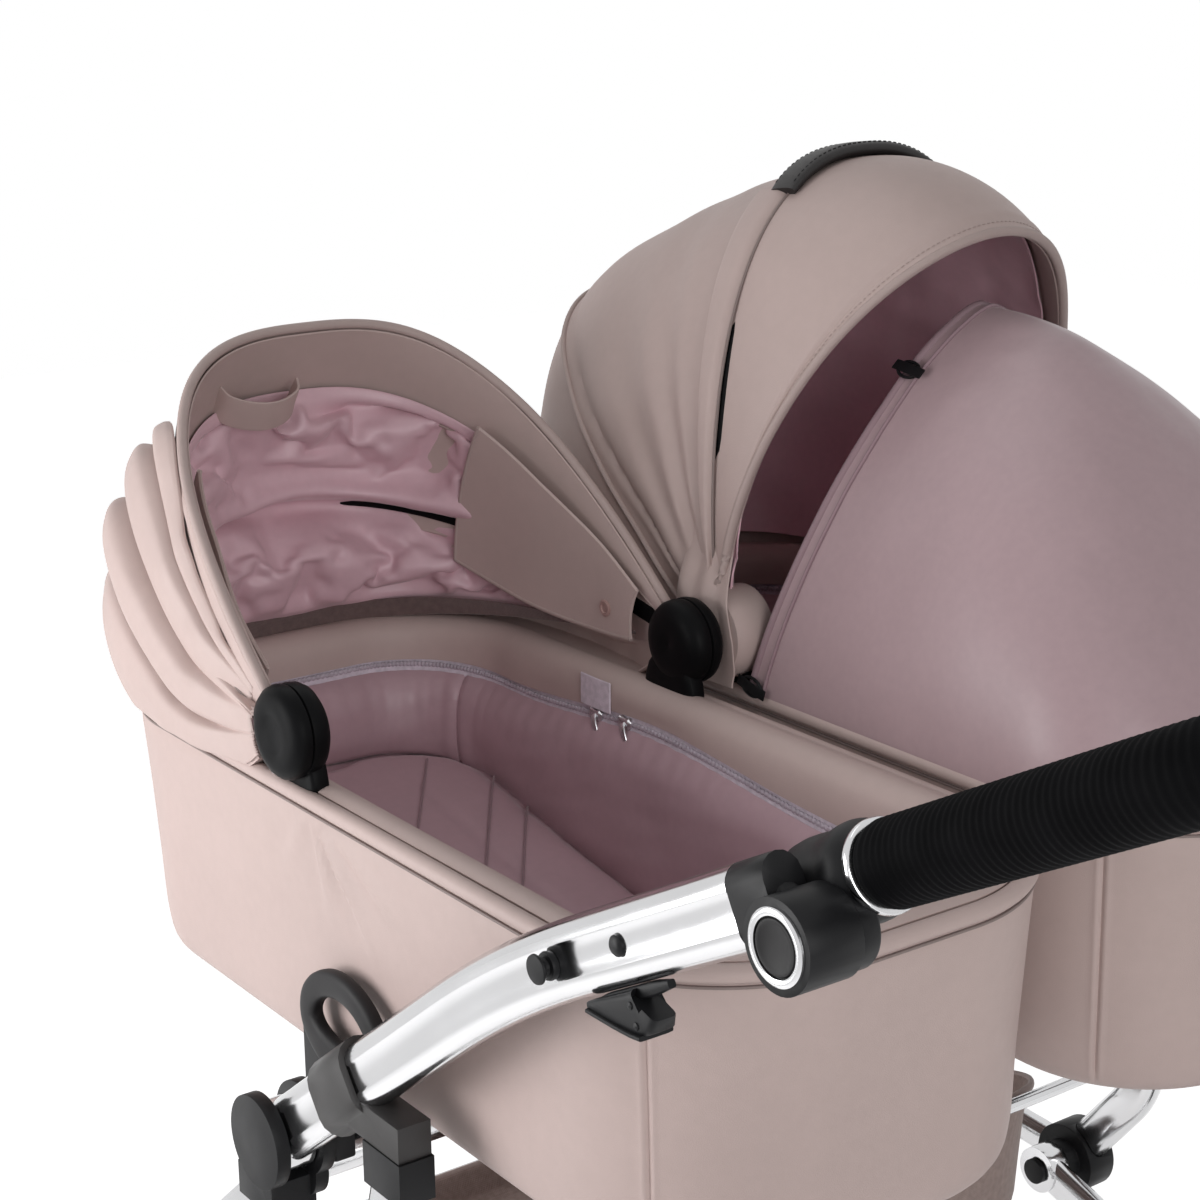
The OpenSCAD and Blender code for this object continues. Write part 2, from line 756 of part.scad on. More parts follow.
// Rocking rails, the bar across them and the tongues that drop into the frame
module cot_base(s) {
    z0 = rim_height - cot_depth - gap;
    placed() color([0.1, 0.1, 0.11]) at_cot(s) {
        for (m = [-1, 1]) translate([m * 110 - 7, 0, 0]) rotate([90, 0, 90])
            linear_extrude(height = 14)
                polygon([[-270, z0], [-270, z0 - 6], [-160, z0 - 18], [-40, z0 - 23], [100, z0 - 23],
                    [180, z0 - 18], [270, z0 - 6], [270, z0]]);
        translate([-tongue_in - tongue_thick, fold[0] - tongue_y / 2, z0 - 14])
            cube([2 * tongue_in + 2 * tongue_thick, tongue_y, 9]);
        for (m = [0, 1]) mirror([m, 0, 0]) {
            translate([tongue_in, fold[0] - tongue_y / 2, socket_top - 23])
                cube([tongue_thick, tongue_y, z0 - socket_top + 60]);
        }
    }
}

module cot_base_left() { cot_base(-1); }

module cot_base_right() { cot_base(1); }

// Pull-up loops that free the carrycot, one on each side of it
loop_at = [fold[0] - 50, rim_height - 160];

module release_loops(s) {
    placed() color([0.12, 0.12, 0.13]) at_cot(s) for (m = [0, 1]) mirror([m, 0, 0])
        translate([tongue_in + tongue_thick + gap, loop_at[0], loop_at[1]])
            rotate([90, 0, 90]) linear_extrude(height = 12)
                difference() {
                    polygon([[-58, -12], [-52, 14], [-36, 33], [-14, 41], [14, 41], [36, 33], [52, 14], [58, -12],
                        [50, -36], [24, -46], [-10, -46], [-46, -32]]);
                    polygon([[-38, -8], [-34, 8], [-24, 18], [-10, 22], [10, 22], [24, 18], [34, 8], [38, -8],
                        [30, -17], [-28, -17]]);
                }
}

module release_loops_left() { release_loops(-1); }

module release_loops_right() { release_loops(1); }

// Fixed halves of the hood hubs: foot, disc and pin
hub_in = cot_width / 2 - 22;
hub_mid = cot_width / 2 - 4;
hub_out = cot_width / 2 + 11;

module hinge_hubs(s) {
    placed() color([0.08, 0.08, 0.08]) at_cot(s) for (m = [0, 1]) mirror([m, 0, 0]) {
        across([hub_y, hub_z], hub_radius, hub_in, hub_mid);
        across([hub_y, hub_z], 8, hub_in, hub_out - 3);
        translate([hub_in, hub_y - 30, rim_height + gap]) cube([hub_mid - hub_in, 60, hub_rise - 20]);
    }
}

module hinge_hubs_left() { hinge_hubs(-1); }

module hinge_hubs_right() { hinge_hubs(1); }

// Main hoop: a flat arch with a boss at each end that turns on the hub pin
module hood_bow(s, angle) {
    outer = arch(hood_half - 5.2, hood_radius - 5.2, 28, 52);
    inner = arch(hood_half - 10, hood_radius - 10, 28, 52);
    placed() color([0.5, 0.5, 0.52]) at_cot(s) at_hub() rotate([angle, 0, 0]) {
        translate([0, 0, -7]) linear_extrude(height = 14)
            polygon(concat(outer, [for (i = [len(inner) - 1 : -1 : 0]) inner[i]]));
        for (m = [0, 1]) mirror([m, 0, 0]) difference() {
            union() {
                across([0, 0], hub_radius, hub_mid + gap, hub_out);
                translate([hub_mid + gap, 20, -7]) cube([hood_half - 6 - hub_mid - gap, 38, 14]);
            }
            across([0, 0], 8 + run, hub_mid - 2, hub_out - 2);
        }
    }
}

module hood_bow_left() { hood_bow(-1, folded_angle); }

module hood_bow_right() { hood_bow(1, raised_angle); }

// Visor cloth in front of the main hoop
module hood_front(s, angle) {
    placed() color([0.72, 0.58, 0.54]) at_cot(s)
        hood_panel(hood_radius, angle - 2, angle + visor_angle);
}

module hood_front_left() { hood_front(-1, folded_angle); }

module hood_front_right() { hood_front(1, raised_angle); }

// Middle cloth, under the visor; it turns 0.6 as far as the main hoop
mid_share = 0.6;
mid_span = 42;

module hood_mid(s, angle) {
    top = raised_angle - 2 - mid_share * (raised_angle - angle);
    placed() color([0.72, 0.58, 0.54]) at_cot(s) hood_panel(mid_radius, top - mid_span, top);
}

module hood_mid_left() { hood_mid(-1, folded_angle); }

module hood_mid_right() { hood_mid(1, raised_angle); }

// Back cloth of the raised hood, fixed to the rim
module hood_back_right() {
    placed() color([0.72, 0.58, 0.54]) at_cot(1) difference() {
        hood_panel(back_radius, -40, 42);
        translate([-300, -600, 0]) cube([600, 1400, rim_height + gap]);
    }
}

// Back cloth of the folded hood: gathered into three fat folds that hang round the head end
roll_loop = [[14, -11.5], [23, -9], [24, -6.4], [19, -4.6], [13, -3.8], [19, -2.6], [24, -0.4], [24, 1.8],
    [18, 3.3], [13, 4], [19, 5], [21, 6.7], [16, 8.4], [5, 8.9], [-6, 8.4], [-7.5, 6.7],
    [-7.5, 4.2], [-7.5, 2.5], [-7.5, 0.8], [-7.5, -0.9], [-7.5, -2.6], [-8, -4.3], [-9, -5.7], [-14, -6.5],
    [-19, -7], [-18, -8.2], [-10, -9.9], [2, -11.4]];

module hood_back_left() {
    path = arch(hood_half, hood_radius, 30, 64);
    placed() color([0.72, 0.58, 0.54]) at_cot(-1) at_hub() loft([for (i = [len(path) - 1 : -1 : 0])
        let (p = path[i], k = pow(p[1] / hood_radius, 1.6),
            n0 = [p[0] / hood_half, p[1] / hood_radius], n = n0 / norm(n0))
        [for (q = roll_loop)
            let (f = q[0] > 0 ? k : min(1, k + 0.4), x = p[0] + n[0] * q[0] * f, r = p[1] + n[1] * q[0] * f)
            [x, r * cos(q[1]), max(r * sin(q[1]), 0.5 - hub_rise)]]]);
}

// Carry handle on the main hoop's crown
module carry_handle(s, angle) {
    low = arch(hood_half + gap, hood_radius + gap, 40);
    high = arch(hood_half + 15, hood_radius + 15, 40);
    placed() color([0.1, 0.09, 0.09]) at_cot(s) at_hub() rotate([angle, 0, 0])
        translate([0, 0, -16]) linear_extrude(height = 32)
            polygon(concat([for (i = [14 : 26]) high[i]], [for (i = [25 : -1 : 15]) low[i]]));
}

module carry_handle_left() { carry_handle(-1, folded_angle); }

module carry_handle_right() { carry_handle(1, raised_angle); }

// Apron over the right carrycot: a cloth tent from the foot end up to a raised edge in the hood's mouth
module apron_right() {
    rows = 16;
    cols = 22;
    thick = 5;
    foot = -cot_length / 2;
    edge_y = hub_y - 44;
    peak = [-44, 300];
    function base_y(v) = foot + 1 + (edge_y - foot - 1) * v;
    function ridge_y(v) = foot + 1 + (peak[0] - foot - 1) * v;
    function ridge_z(v) = 12 + (peak[1] - 12) * (1 - pow(1 - v, 1.5));
    function section(v, d) = [for (j = [0 : cols])
        let (t = 180 - 180 * j / cols, cx = sgn(cos(t)) * pow(abs(cos(t)), 2 / 2.3), sz = pow(sin(t), 2 / 2.3))
        [(plan_half(0, base_y(v)) - d) * cx, base_y(v) + (ridge_y(v) - base_y(v)) * sz,
            rim_height + 0.4 + max(ridge_z(v) - d, 1) * sz]];
    placed() color([0.8, 0.68, 0.67]) at_cot(1) loft([for (i = [0 : rows])
        let (v = i / rows, outer = section(v, 0), inner = section(v, thick))
        concat(outer, [for (j = [cols : -1 : 0]) inner[j]])]);
}

front_struts();
leg_tubes();
base_tubes();
fold_hubs();
frame_knuckles();
cross_tubes();
outer_sockets();
centre_socket();
stem_housings();
basket();
rear_legs();
rear_axle();
rear_tyre_left();
rear_rim_left();
rear_tyre_right();
rear_rim_right();
fork_left();
fork_right();
front_tyre_left();
front_rim_left();
front_tyre_right();
front_rim_right();
arm_left();
arm_right();
arm_collars();
arm_ends();
arm_fittings();
trigger_left();
trigger_right();
handle_elbows();
handle_core();
handle_grip();
grip_rings();
button_left();
button_right();
brake_pedal();
shell_left();
liner_left();
mattress_left();
cot_base_left();
hinge_hubs_left();
hood_back_left();
release_loops_left();
hood_mid_left();
hood_bow_left();
hood_front_left();
carry_handle_left();
shell_right();
liner_right();
mattress_right();
cot_base_right();
hinge_hubs_right();
hood_back_right();
release_loops_right();
hood_mid_right();
hood_bow_right();
hood_front_right();
carry_handle_right();
apron_right();
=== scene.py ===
"""Looks of the twin pram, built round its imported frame. Metres; +Y is the head end, +X the pusher's
right."""
import math

import bmesh
import bpy
import numpy as np
from mathutils import Matrix, Vector


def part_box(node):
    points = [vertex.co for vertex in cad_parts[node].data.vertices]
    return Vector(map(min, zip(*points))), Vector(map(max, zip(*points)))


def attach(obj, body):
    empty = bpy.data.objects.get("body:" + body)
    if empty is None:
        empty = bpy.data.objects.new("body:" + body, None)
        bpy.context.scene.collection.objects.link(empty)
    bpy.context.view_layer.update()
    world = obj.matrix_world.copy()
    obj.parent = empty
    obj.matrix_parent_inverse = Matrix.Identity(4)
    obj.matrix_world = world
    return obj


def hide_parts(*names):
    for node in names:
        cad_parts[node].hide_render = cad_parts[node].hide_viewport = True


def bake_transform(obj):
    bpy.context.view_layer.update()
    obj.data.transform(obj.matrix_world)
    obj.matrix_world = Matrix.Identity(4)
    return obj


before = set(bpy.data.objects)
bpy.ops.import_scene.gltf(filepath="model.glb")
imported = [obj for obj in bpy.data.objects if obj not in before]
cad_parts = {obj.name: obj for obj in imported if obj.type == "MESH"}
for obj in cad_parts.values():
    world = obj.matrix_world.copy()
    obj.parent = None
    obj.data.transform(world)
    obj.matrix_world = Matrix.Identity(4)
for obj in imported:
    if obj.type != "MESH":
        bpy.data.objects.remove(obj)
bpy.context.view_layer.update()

# Sizes that the source gives, in metres
RIM = 0.800
COT_Y = 0.207312
COT_X = {"left": -0.201, "right": 0.201}
HALF_W = 0.185
HALF_L = 0.404
CORNER = 0.133
HUB_Y = 0.057651
HUB_Z = 0.043
SIDES = ("left", "right")


# Numbers into surfaces

def spline(points, count):
    """A cubic through the points with the slopes of their neighbours, at even steps of its own length."""
    p = np.asarray(points, float)
    k = np.concatenate([[0], np.cumsum(np.linalg.norm(np.diff(p, axis=0), axis=1) ** 0.5)])
    slope = np.gradient(p, k, axis=0)
    t = np.linspace(0, k[-1], 60 * len(p))
    i = np.clip(np.searchsorted(k, t, "right") - 1, 0, len(k) - 2)
    h = (k[i + 1] - k[i])[:, None]
    u = ((t - k[i]) / h[:, 0])[:, None]
    fine = ((2 * u ** 3 - 3 * u ** 2 + 1) * p[i] + (u ** 3 - 2 * u ** 2 + u) * h * slope[i]
            + (3 * u ** 2 - 2 * u ** 3) * p[i + 1] + (u ** 3 - u ** 2) * h * slope[i + 1])
    s = np.concatenate([[0], np.cumsum(np.linalg.norm(np.diff(fine, axis=0), axis=1))])
    at = np.linspace(0, s[-1], count)
    return np.stack([np.interp(at, s, fine[:, c]) for c in range(p.shape[1])], 1)


def knots(x, xs, ys):
    """A smooth curve through named values: cubics with the slopes of their neighbours."""
    xs, ys = np.asarray(xs, float), np.asarray(ys, float)
    slope = np.gradient(ys, xs)
    x = np.clip(x, xs[0], xs[-1])
    i = np.clip(np.searchsorted(xs, x, "right") - 1, 0, len(xs) - 2)
    h = xs[i + 1] - xs[i]
    u = (x - xs[i]) / h
    return ((2 * u ** 3 - 3 * u ** 2 + 1) * ys[i] + (u ** 3 - 2 * u ** 2 + u) * h * slope[i]
            + (3 * u ** 2 - 2 * u ** 3) * ys[i + 1] + (u ** 3 - u ** 2) * h * slope[i + 1])


def ease(x, low, high):
    """0 below low, 1 above high, and a smooth step between."""
    u = np.clip((np.asarray(x, float) - low) / (high - low), 0, 1)
    return u * u * (3 - 2 * u)


def bell(x, middle, width):
    """A round bump of height 1."""
    return np.exp(-((np.asarray(x, float) - middle) / width) ** 2)


def waves(u, v, seed, scale, octaves=4):
    """Soft noise on two parameters: sums of sines whose directions and phases come from a seed."""
    rng = np.random.default_rng(seed)
    out = np.zeros(np.broadcast(u, v).shape)
    for k in range(octaves):
        for _ in range(3):
            a = rng.uniform(0, 2 * np.pi)
            f = scale * 1.8 ** k * rng.uniform(0.7, 1.3)
            out = out + np.sin(f * (u * np.cos(a) + v * np.sin(a)) + rng.uniform(0, 6.28)) / 1.7 ** k
    return out / 3.2


def rim_loop(count, seams=()):
    """Points and outward normals round a carrycot's rim at even steps, closer at the seams' corner angles:
    straight sides and four round corners, from the middle of the foot end towards +X. Returns also the
    place along the rim of each point and of each seam."""
    a, b = HALF_W - CORNER, HALF_L - CORNER
    turn = np.radians(np.linspace(-90, 270, 721))
    centre = np.stack([np.where(np.cos(turn) >= 0, a, -a), np.where(np.sin(turn) >= 0, b, -b)], 1)
    line = centre + CORNER * np.stack([np.cos(turn), np.sin(turn)], 1)
    line[0, 0] = line[-1, 0] = 0
    s = np.concatenate([[0], np.cumsum(np.linalg.norm(np.diff(line, axis=0), axis=1))])
    at = np.linspace(0, s[-1], count, endpoint=False)
    marks = np.interp(np.radians(seams), turn, s) if len(seams) else np.zeros(0)
    if len(seams):
        near = np.array([-7, -5.5, -4.2, -3, -2, -1, 0, 1, 2, 3, 4.2, 5.5, 7]) / 1000
        at = np.unique(np.round(np.concatenate([at, (marks[:, None] + near).ravel()]), 6))
    spot = np.stack([np.interp(at, s, line[:, c]) for c in (0, 1)], 1)
    angle = np.interp(at, s, turn)
    return spot, np.stack([np.cos(angle), np.sin(angle)], 1), at, marks


def grid_quads(m, n, wrap_rows=False, wrap_columns=False):
    """Quads between neighbouring rows and columns of an m by n grid."""
    i = np.arange(m if wrap_rows else m - 1)[:, None]
    j = np.arange(n if wrap_columns else n - 1)[None, :]
    k, l = (i + 1) % m, (j + 1) % n
    return np.stack([i * n + j, i * n + l, k * n + l, k * n + j], -1).reshape(-1, 4)


def outward(points, quads):
    """Turns every face round if the closed shape's signed volume is below nought."""
    p = points[quads]
    volume = (np.einsum("ij,ij->i", p[:, 0], np.cross(p[:, 1], p[:, 2]))
              + np.einsum("ij,ij->i", p[:, 0], np.cross(p[:, 2], p[:, 3]))).sum()
    return quads if volume > 0 else quads[:, ::-1]


def normals_of(grid):
    """Unit normals of a grid of points, from its row and column slopes."""
    n = np.cross(np.gradient(grid, axis=0), np.gradient(grid, axis=1))
    return n / np.maximum(np.linalg.norm(n, axis=2, keepdims=True), 1e-12)


def piece(name, points, quads, look, body=None, stands_for=(), slot=None, sharp=40.0, merge=False):
    """A new object at the origin from points and faces, smooth but for edges sharper than the angle; merge
    closes rows that meet."""
    mesh = bpy.data.meshes.new(name)
    mesh.from_pydata(np.asarray(points, float).reshape(-1, 3), [], np.asarray(quads).tolist())
    if merge:
        work = bmesh.new()
        work.from_mesh(mesh)
        bmesh.ops.remove_doubles(work, verts=work.verts, dist=1e-5)
        work.to_mesh(mesh)
        work.free()
    mesh.polygons.foreach_set("use_smooth", np.ones(len(mesh.polygons), bool))
    mesh.set_sharp_from_angle(angle=math.radians(sharp))
    mesh.materials.append(look)
    obj = bpy.data.objects.new(name, mesh)
    bpy.context.scene.collection.objects.link(obj)
    if body:
        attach(obj, body)
    if stands_for:
        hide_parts(*stands_for)
    return obj


def skin(grid, thick):
    """A sheet with a thickness: the grid, a copy moved in along its normals, and rounded hems round the
    edge. Positive thickness goes against the normals. Returns points and quads."""
    n = normals_of(grid)
    inner = grid - n * thick
    m, k = grid.shape[:2]
    middle = (grid + inner) / 2
    reach = abs(thick) / 2
    first = middle[0] + _along(grid[0] - grid[1], reach)
    last = middle[-1] + _along(grid[-1] - grid[-2], reach)
    loop = np.concatenate([grid, last[None], inner[::-1], first[None]])
    left = middle[:, 0] + _along(grid[:, 0] - grid[:, 1], reach)
    right = middle[:, -1] + _along(grid[:, -1] - grid[:, -2], reach)
    rows = len(loop)
    quads = grid_quads(rows, k, wrap_rows=True)
    points = np.concatenate([loop.reshape(-1, 3), left, right])
    base = rows * k
    i = np.arange(m - 1)
    outer, under = i * k, (2 * m - i) * k
    caps = []
    for column, start, flip in ((0, base, 1), (k - 1, base + m, -1)):
        caps.append(np.stack([outer + column, outer + k + column, start + i + 1, start + i], 1)[:, ::flip])
        caps.append(np.stack([start + i, start + i + 1, under - k + column, under + column], 1)[:, ::flip])
        ends = np.array([[m * k + column, (m + 1) * k + column, start + m - 1, (m - 1) * k + column],
                         [(rows - 1) * k + column, column, start, (2 * m) * k + column]])
        caps.append(ends[:, ::flip])
    quads = np.concatenate([quads] + caps)
    return points, outward(points, quads)


def _along(v, length):
    """The vectors set to one length."""
    return v / np.maximum(np.linalg.norm(v, axis=-1, keepdims=True), 1e-12) * length


def sweep(path, section, up, closed=False):
    """A section carried along a path: its first axis lies across (tangent x up), its second along up made
    square. section is (n, 2) for one section or (m, n, 2) for one at each stop; open ends are closed by
    fans of quads."""
    path = np.asarray(path, float)
    tangent = (np.roll(path, -1, 0) - np.roll(path, 1, 0)) if closed else np.gradient(path, axis=0)
    tangent = _along(tangent, 1)
    up = np.broadcast_to(np.asarray(up, float), path.shape)
    across = _along(np.cross(tangent, up), 1)
    rise = np.cross(across, tangent)
    section = np.broadcast_to(section, (len(path),) + section.shape[-2:])
    grid = path[:, None] + across[:, None] * section[..., 0:1] + rise[:, None] * section[..., 1:2]
    m, n = grid.shape[:2]
    quads = grid_quads(m, n, wrap_rows=closed, wrap_columns=True)
    points = grid.reshape(-1, 3)
    if not closed:
        j = np.arange(n // 2 - 1)
        cap = np.stack([j, j + 1, n - 2 - j, n - 1 - j], 1)
        quads = np.concatenate([quads, cap[:, ::-1], cap + (m - 1) * n])
    return points, outward(points, quads)


def oval(width, height, count=24, power=2.0):
    """A ring of points on a rounded outline: both axes raised to 2/power, so higher powers are squarer."""
    t = np.linspace(0, 2 * np.pi, count, endpoint=False)
    c, s = np.cos(t), np.sin(t)
    return np.stack([width / 2 * np.sign(c) * np.abs(c) ** (2 / power),
                     height / 2 * np.sign(s) * np.abs(s) ** (2 / power)], 1)


def lathe(profile, centre, axis="x", count=72):
    """A closed outline of (distance along the axis, radius) turned about an axis through centre."""
    profile = np.asarray(profile, float)
    t = np.linspace(0, 2 * np.pi, count, endpoint=False)
    along = np.broadcast_to(profile[None, :, 0], (count, len(profile)))
    a, b = profile[None, :, 1] * np.cos(t)[:, None], profile[None, :, 1] * np.sin(t)[:, None]
    order = {"x": (along, a, b), "y": (b, along, a), "z": (a, b, along)}[axis]
    points = np.stack(order, -1).reshape(-1, 3) + np.asarray(centre, float)
    quads = grid_quads(count, len(profile), wrap_rows=True, wrap_columns=True)
    return points, outward(points, quads)


def gather(*parts):
    """Several (points, quads) pairs as one."""
    points, quads, base = [], [], 0
    for p, q in parts:
        points.append(p)
        quads.append(q + base)
        base += len(p)
    return np.concatenate(points), np.concatenate(quads)


def mirrored(part):
    """The same part on the other side of the pram, with its faces turned back outwards."""
    points, quads = part
    return points * np.array([-1.0, 1, 1]), quads[:, ::-1]


def place(grid, side=None):
    """From a carrycot's own place (middle, rim height) to the pram's."""
    shift = np.array([COT_X[side] if side else 0.0, COT_Y, RIM])
    return np.asarray(grid, float) + shift


# Finishes

class Look:
    """A material on one principled shader: constants on its sockets, patterns from object coordinates."""

    def __init__(self, name, **sockets):
        self.material = bpy.data.materials.new(name)
        self.material.use_nodes = True
        self.tree = self.material.node_tree
        self.shader = self.tree.nodes["Principled BSDF"]
        self.coords = self.tree.nodes.new("ShaderNodeTexCoord").outputs["Object"]
        for socket, value in sockets.items():
            self.shader.inputs[socket.replace("_", " ")].default_value = value

    def add(self, kind, values=(), **settings):
        """A node of a kind, with its settings and its inputs by name: numbers are set and sockets are
        linked."""
        node = self.tree.nodes.new("ShaderNode" + kind)
        for key, value in settings.items():
            setattr(node, key, value)
        for key, value in dict(values).items():
            if isinstance(value, bpy.types.NodeSocket):
                self.tree.links.new(value, node.inputs[key])
            else:
                node.inputs[key].default_value = value
        return node

    def noise(self, scale, detail=2.0, roughness=0.5, coords=None):
        return self.add("TexNoise", {"Vector": coords or self.coords, "Scale": scale, "Detail": detail,
                                     "Roughness": roughness}).outputs["Fac"]

    def span(self, value, low, high, start=0.0, end=1.0):
        """A value stretched from start..end to low..high."""
        return self.add("MapRange", {"Value": value, "From Min": start, "From Max": end, "To Min": low,
                                     "To Max": high}).outputs["Result"]

    def maths(self, kind, a, b):
        return self.add("Math", {0: a, 1: b}, operation=kind).outputs[0]

    def colours(self, factor, *stops):
        """A colour that runs through the stops (place, colour) with the factor, linked to the base
        colour."""
        ramp = self.add("ValToRGB", {"Fac": factor})
        band = ramp.color_ramp
        for i, (where, colour) in enumerate(stops):
            stop = band.elements[i] if i < 2 else band.elements.new(where)
            stop.position = where
            stop.color = (*colour, 1)
        self.tree.links.new(ramp.outputs["Color"], self.shader.inputs["Base Color"])

    def to(self, socket, value):
        self.tree.links.new(value, self.shader.inputs[socket])

    def bump(self, height, strength, distance):
        node = self.add("Bump", {"Height": height, "Strength": strength, "Distance": distance})
        self.to("Normal", node.outputs["Normal"])


def shade(colour, factor):
    return tuple(min(1.0, c * factor) for c in colour)


def leatherette(name, colour, coat=0.0):
    """Coated cloth: faint tone changes, pores as fine cells, and a slightly uneven gloss."""
    look = Look(name, Specular_IOR_Level=0.35, Coat_Weight=coat, Coat_Roughness=0.4)
    tone = look.maths("ADD", look.maths("MULTIPLY", look.noise(7, 3), 0.7),
                      look.maths("MULTIPLY", look.noise(90, 2), 0.3))
    look.colours(tone, (0.25, shade(colour, 0.93)), (0.75, shade(colour, 1.05)))
    cells = look.add("TexVoronoi", {"Vector": look.coords, "Scale": 780.0},
                     feature="DISTANCE_TO_EDGE").outputs["Distance"]
    grain = look.maths("ADD", look.span(cells, 0, 1, 0, 0.25),
                       look.maths("MULTIPLY", look.noise(1500, 2), 0.5))
    look.to("Roughness", look.span(look.noise(160, 2), 0.46, 0.6))
    look.bump(grain, 0.16, 0.0004)
    return look.material


def satin(name, colour, crease=0.10):
    """Thin shiny cloth: a fine thread pattern, tone changes and small creases."""
    look = Look(name, Specular_IOR_Level=0.5, Sheen_Weight=0.25, Sheen_Roughness=0.35)
    tone = look.maths("ADD", look.maths("MULTIPLY", look.noise(11, 3), 0.6),
                      look.maths("MULTIPLY", look.noise(140, 2), 0.4))
    look.colours(tone, (0.25, shade(colour, 0.93)), (0.75, shade(colour, 1.06)))
    thread = look.add("TexWave", {"Vector": look.coords, "Scale": 420.0, "Distortion": 2.0, "Detail": 2.0,
                                  "Detail Scale": 1.5}, bands_direction="DIAGONAL").outputs["Fac"]
    crumple = look.noise(48, 3, 0.45)
    look.to("Roughness", look.span(look.noise(60, 2), 0.36, 0.48))
    look.bump(look.maths("ADD", look.maths("MULTIPLY", thread, 0.04), crumple), crease, 0.004)
    return look.material


def plastic(name, colour, low=0.38, high=0.52, grain=0.12, gloss=0.16):
    """Moulded plastic: fine spark-eroded grain, and worn patches that shine a little more."""
    look = Look(name, Specular_IOR_Level=gloss)
    look.colours(look.noise(24, 4), (0.3, shade(colour, 0.85)), (0.8, shade(colour, 1.25)))
    look.to("Roughness", look.span(look.noise(18, 4), low, high, 0.3, 0.7))
    look.bump(look.noise(1300, 2), grain, 0.0003)
    return look.material


def metal(name, colour, low, high, streak=0.02):
    """Polished tube: bright, with faint drawn streaks and finger-dulled patches."""
    look = Look(name, Metallic=1.0)
    look.colours(look.noise(9, 3), (0.3, shade(colour, 0.95)), (0.7, shade(colour, 1.03)))
    look.to("Roughness", look.span(look.noise(14, 5), low, high, 0.3, 0.7))
    look.bump(look.noise(220, 2), streak, 0.0005)
    return look.material


def cloth(name, colour, scale=900.0, strength=0.25):
    """Plain woven cloth: two crossed sets of threads and a mottled colour."""
    look = Look(name, Specular_IOR_Level=0.2, Sheen_Weight=0.3, Sheen_Roughness=0.5)
    look.colours(look.noise(200, 3), (0.3, shade(colour, 0.86)), (0.7, shade(colour, 1.1)))
    wide = look.add("TexWave", {"Vector": look.coords, "Scale": scale / 6.3},
                    bands_direction="X").outputs["Fac"]
    long = look.add("TexWave", {"Vector": look.coords, "Scale": scale / 6.3},
                    bands_direction="Y").outputs["Fac"]
    tall = look.add("TexWave", {"Vector": look.coords, "Scale": scale / 6.3},
                    bands_direction="Z").outputs["Fac"]
    weave = look.maths("ADD", look.maths("MULTIPLY", wide, long), tall)
    look.to("Roughness", look.span(look.noise(80, 2), 0.75, 0.9))
    look.bump(weave, strength, 0.0004)
    return look.material


def rubber(name, colour):
    """Dusty rubber: matt, with a mottled bloom."""
    look = Look(name, Specular_IOR_Level=0.03)
    look.colours(look.noise(40, 5), (0.3, shade(colour, 0.8)), (0.75, shade(colour, 1.5)))
    look.to("Roughness", look.span(look.noise(30, 4), 0.62, 0.82))
    look.bump(look.noise(700, 3), 0.2, 0.0004)
    return look.material


DUSTY = (0.53, 0.415, 0.39)
PINK = (0.50, 0.335, 0.375)
BLACK = (0.009, 0.009, 0.010)
LEATHER = leatherette("leatherette", DUSTY)
PIPING = leatherette("leatherette_piping", shade(DUSTY, 0.86))
# Leatherette darkened to less than half: painted shadow for the line under the rim roll and the slit of the
# hoop's seam.
SEAM_SHADE_LOOK = leatherette("seam_shadow", shade(DUSTY, 0.45))
SATIN = satin("satin_lining", PINK)
# The hood linings are lighter copies of the wall's satin: painted light for the light that reaches inside
# the hoods, strongest in the raised hood.
HOOD_SATIN_PAINTED_LIGHT = satin("hood_satin", shade(PINK, 1.38))
RAISED_HOOD_SATIN_PAINTED_LIGHT = satin("raised_hood_satin", (0.92, 0.60, 0.68))
QUILT = satin("mattress_cloth", shade(PINK, 1.05), 0.05)
# Mattress seam lines: the satin darkened to about two thirds, as painted shade of the dips the seams are
# sewn in.
SEAM_DIP_SHADE_SATIN = satin("mattress_seam", shade(PINK, 0.62), 0.05)
COVER = satin("apron_cloth", (0.43, 0.305, 0.325), 0.06)
TAPE = cloth("zip_tape", (0.72, 0.64, 0.72), 1400.0, 0.2)
COIL = plastic("zip_coil", (0.50, 0.44, 0.50), 0.3, 0.45)
CHROME = metal("polished_tube", (0.62, 0.62, 0.63), 0.10, 0.20)
STEEL = metal("steel", (0.62, 0.62, 0.64), 0.22, 0.38)
PLASTIC = plastic("black_plastic", BLACK)
COLLAR = plastic("collar_plastic", (0.030, 0.028, 0.028), gloss=0.3)
HUBS = plastic("hub_plastic", (0.005, 0.005, 0.0055), gloss=0.05)
GREYER = plastic("dark_grey_plastic", (0.020, 0.019, 0.020), 0.42, 0.58)
HIDE = leatherette("black_hide", (0.012, 0.010, 0.010), 0.05)
GRIP = rubber("grip_rubber", (0.0035, 0.0035, 0.004))
TYRE = rubber("tyre_rubber", (0.022, 0.022, 0.023))
WHEEL = plastic("wheel_plastic", (0.30, 0.30, 0.31), 0.3, 0.45)
MESH = cloth("mesh_cloth", (0.16, 0.11, 0.105), 2200.0, 0.5)
BAG = cloth("basket_cloth", (0.36, 0.27, 0.245), 1100.0, 0.3)
CORD = leatherette("apron_cord", shade(PINK, 0.62))
STUD = plastic("press_stud", (0.42, 0.27, 0.25), 0.25, 0.35)


# Carrycots

SEAMS = (-32.0, 32.0, 148.0, 212.0)
UP = np.array([0.0, 0.0, 1.0])


def ring_grid(profile, loop, out):
    """A profile of (inset from the rim, height) carried round the rim: each stop moves in along the rim's
    normal."""
    profile = np.asarray(profile, float)
    flat = loop[None] - profile[:, 0, None, None] * out[None]
    return np.concatenate([flat, np.broadcast_to(profile[:, 1, None, None], flat.shape[:2] + (1,))], 2)


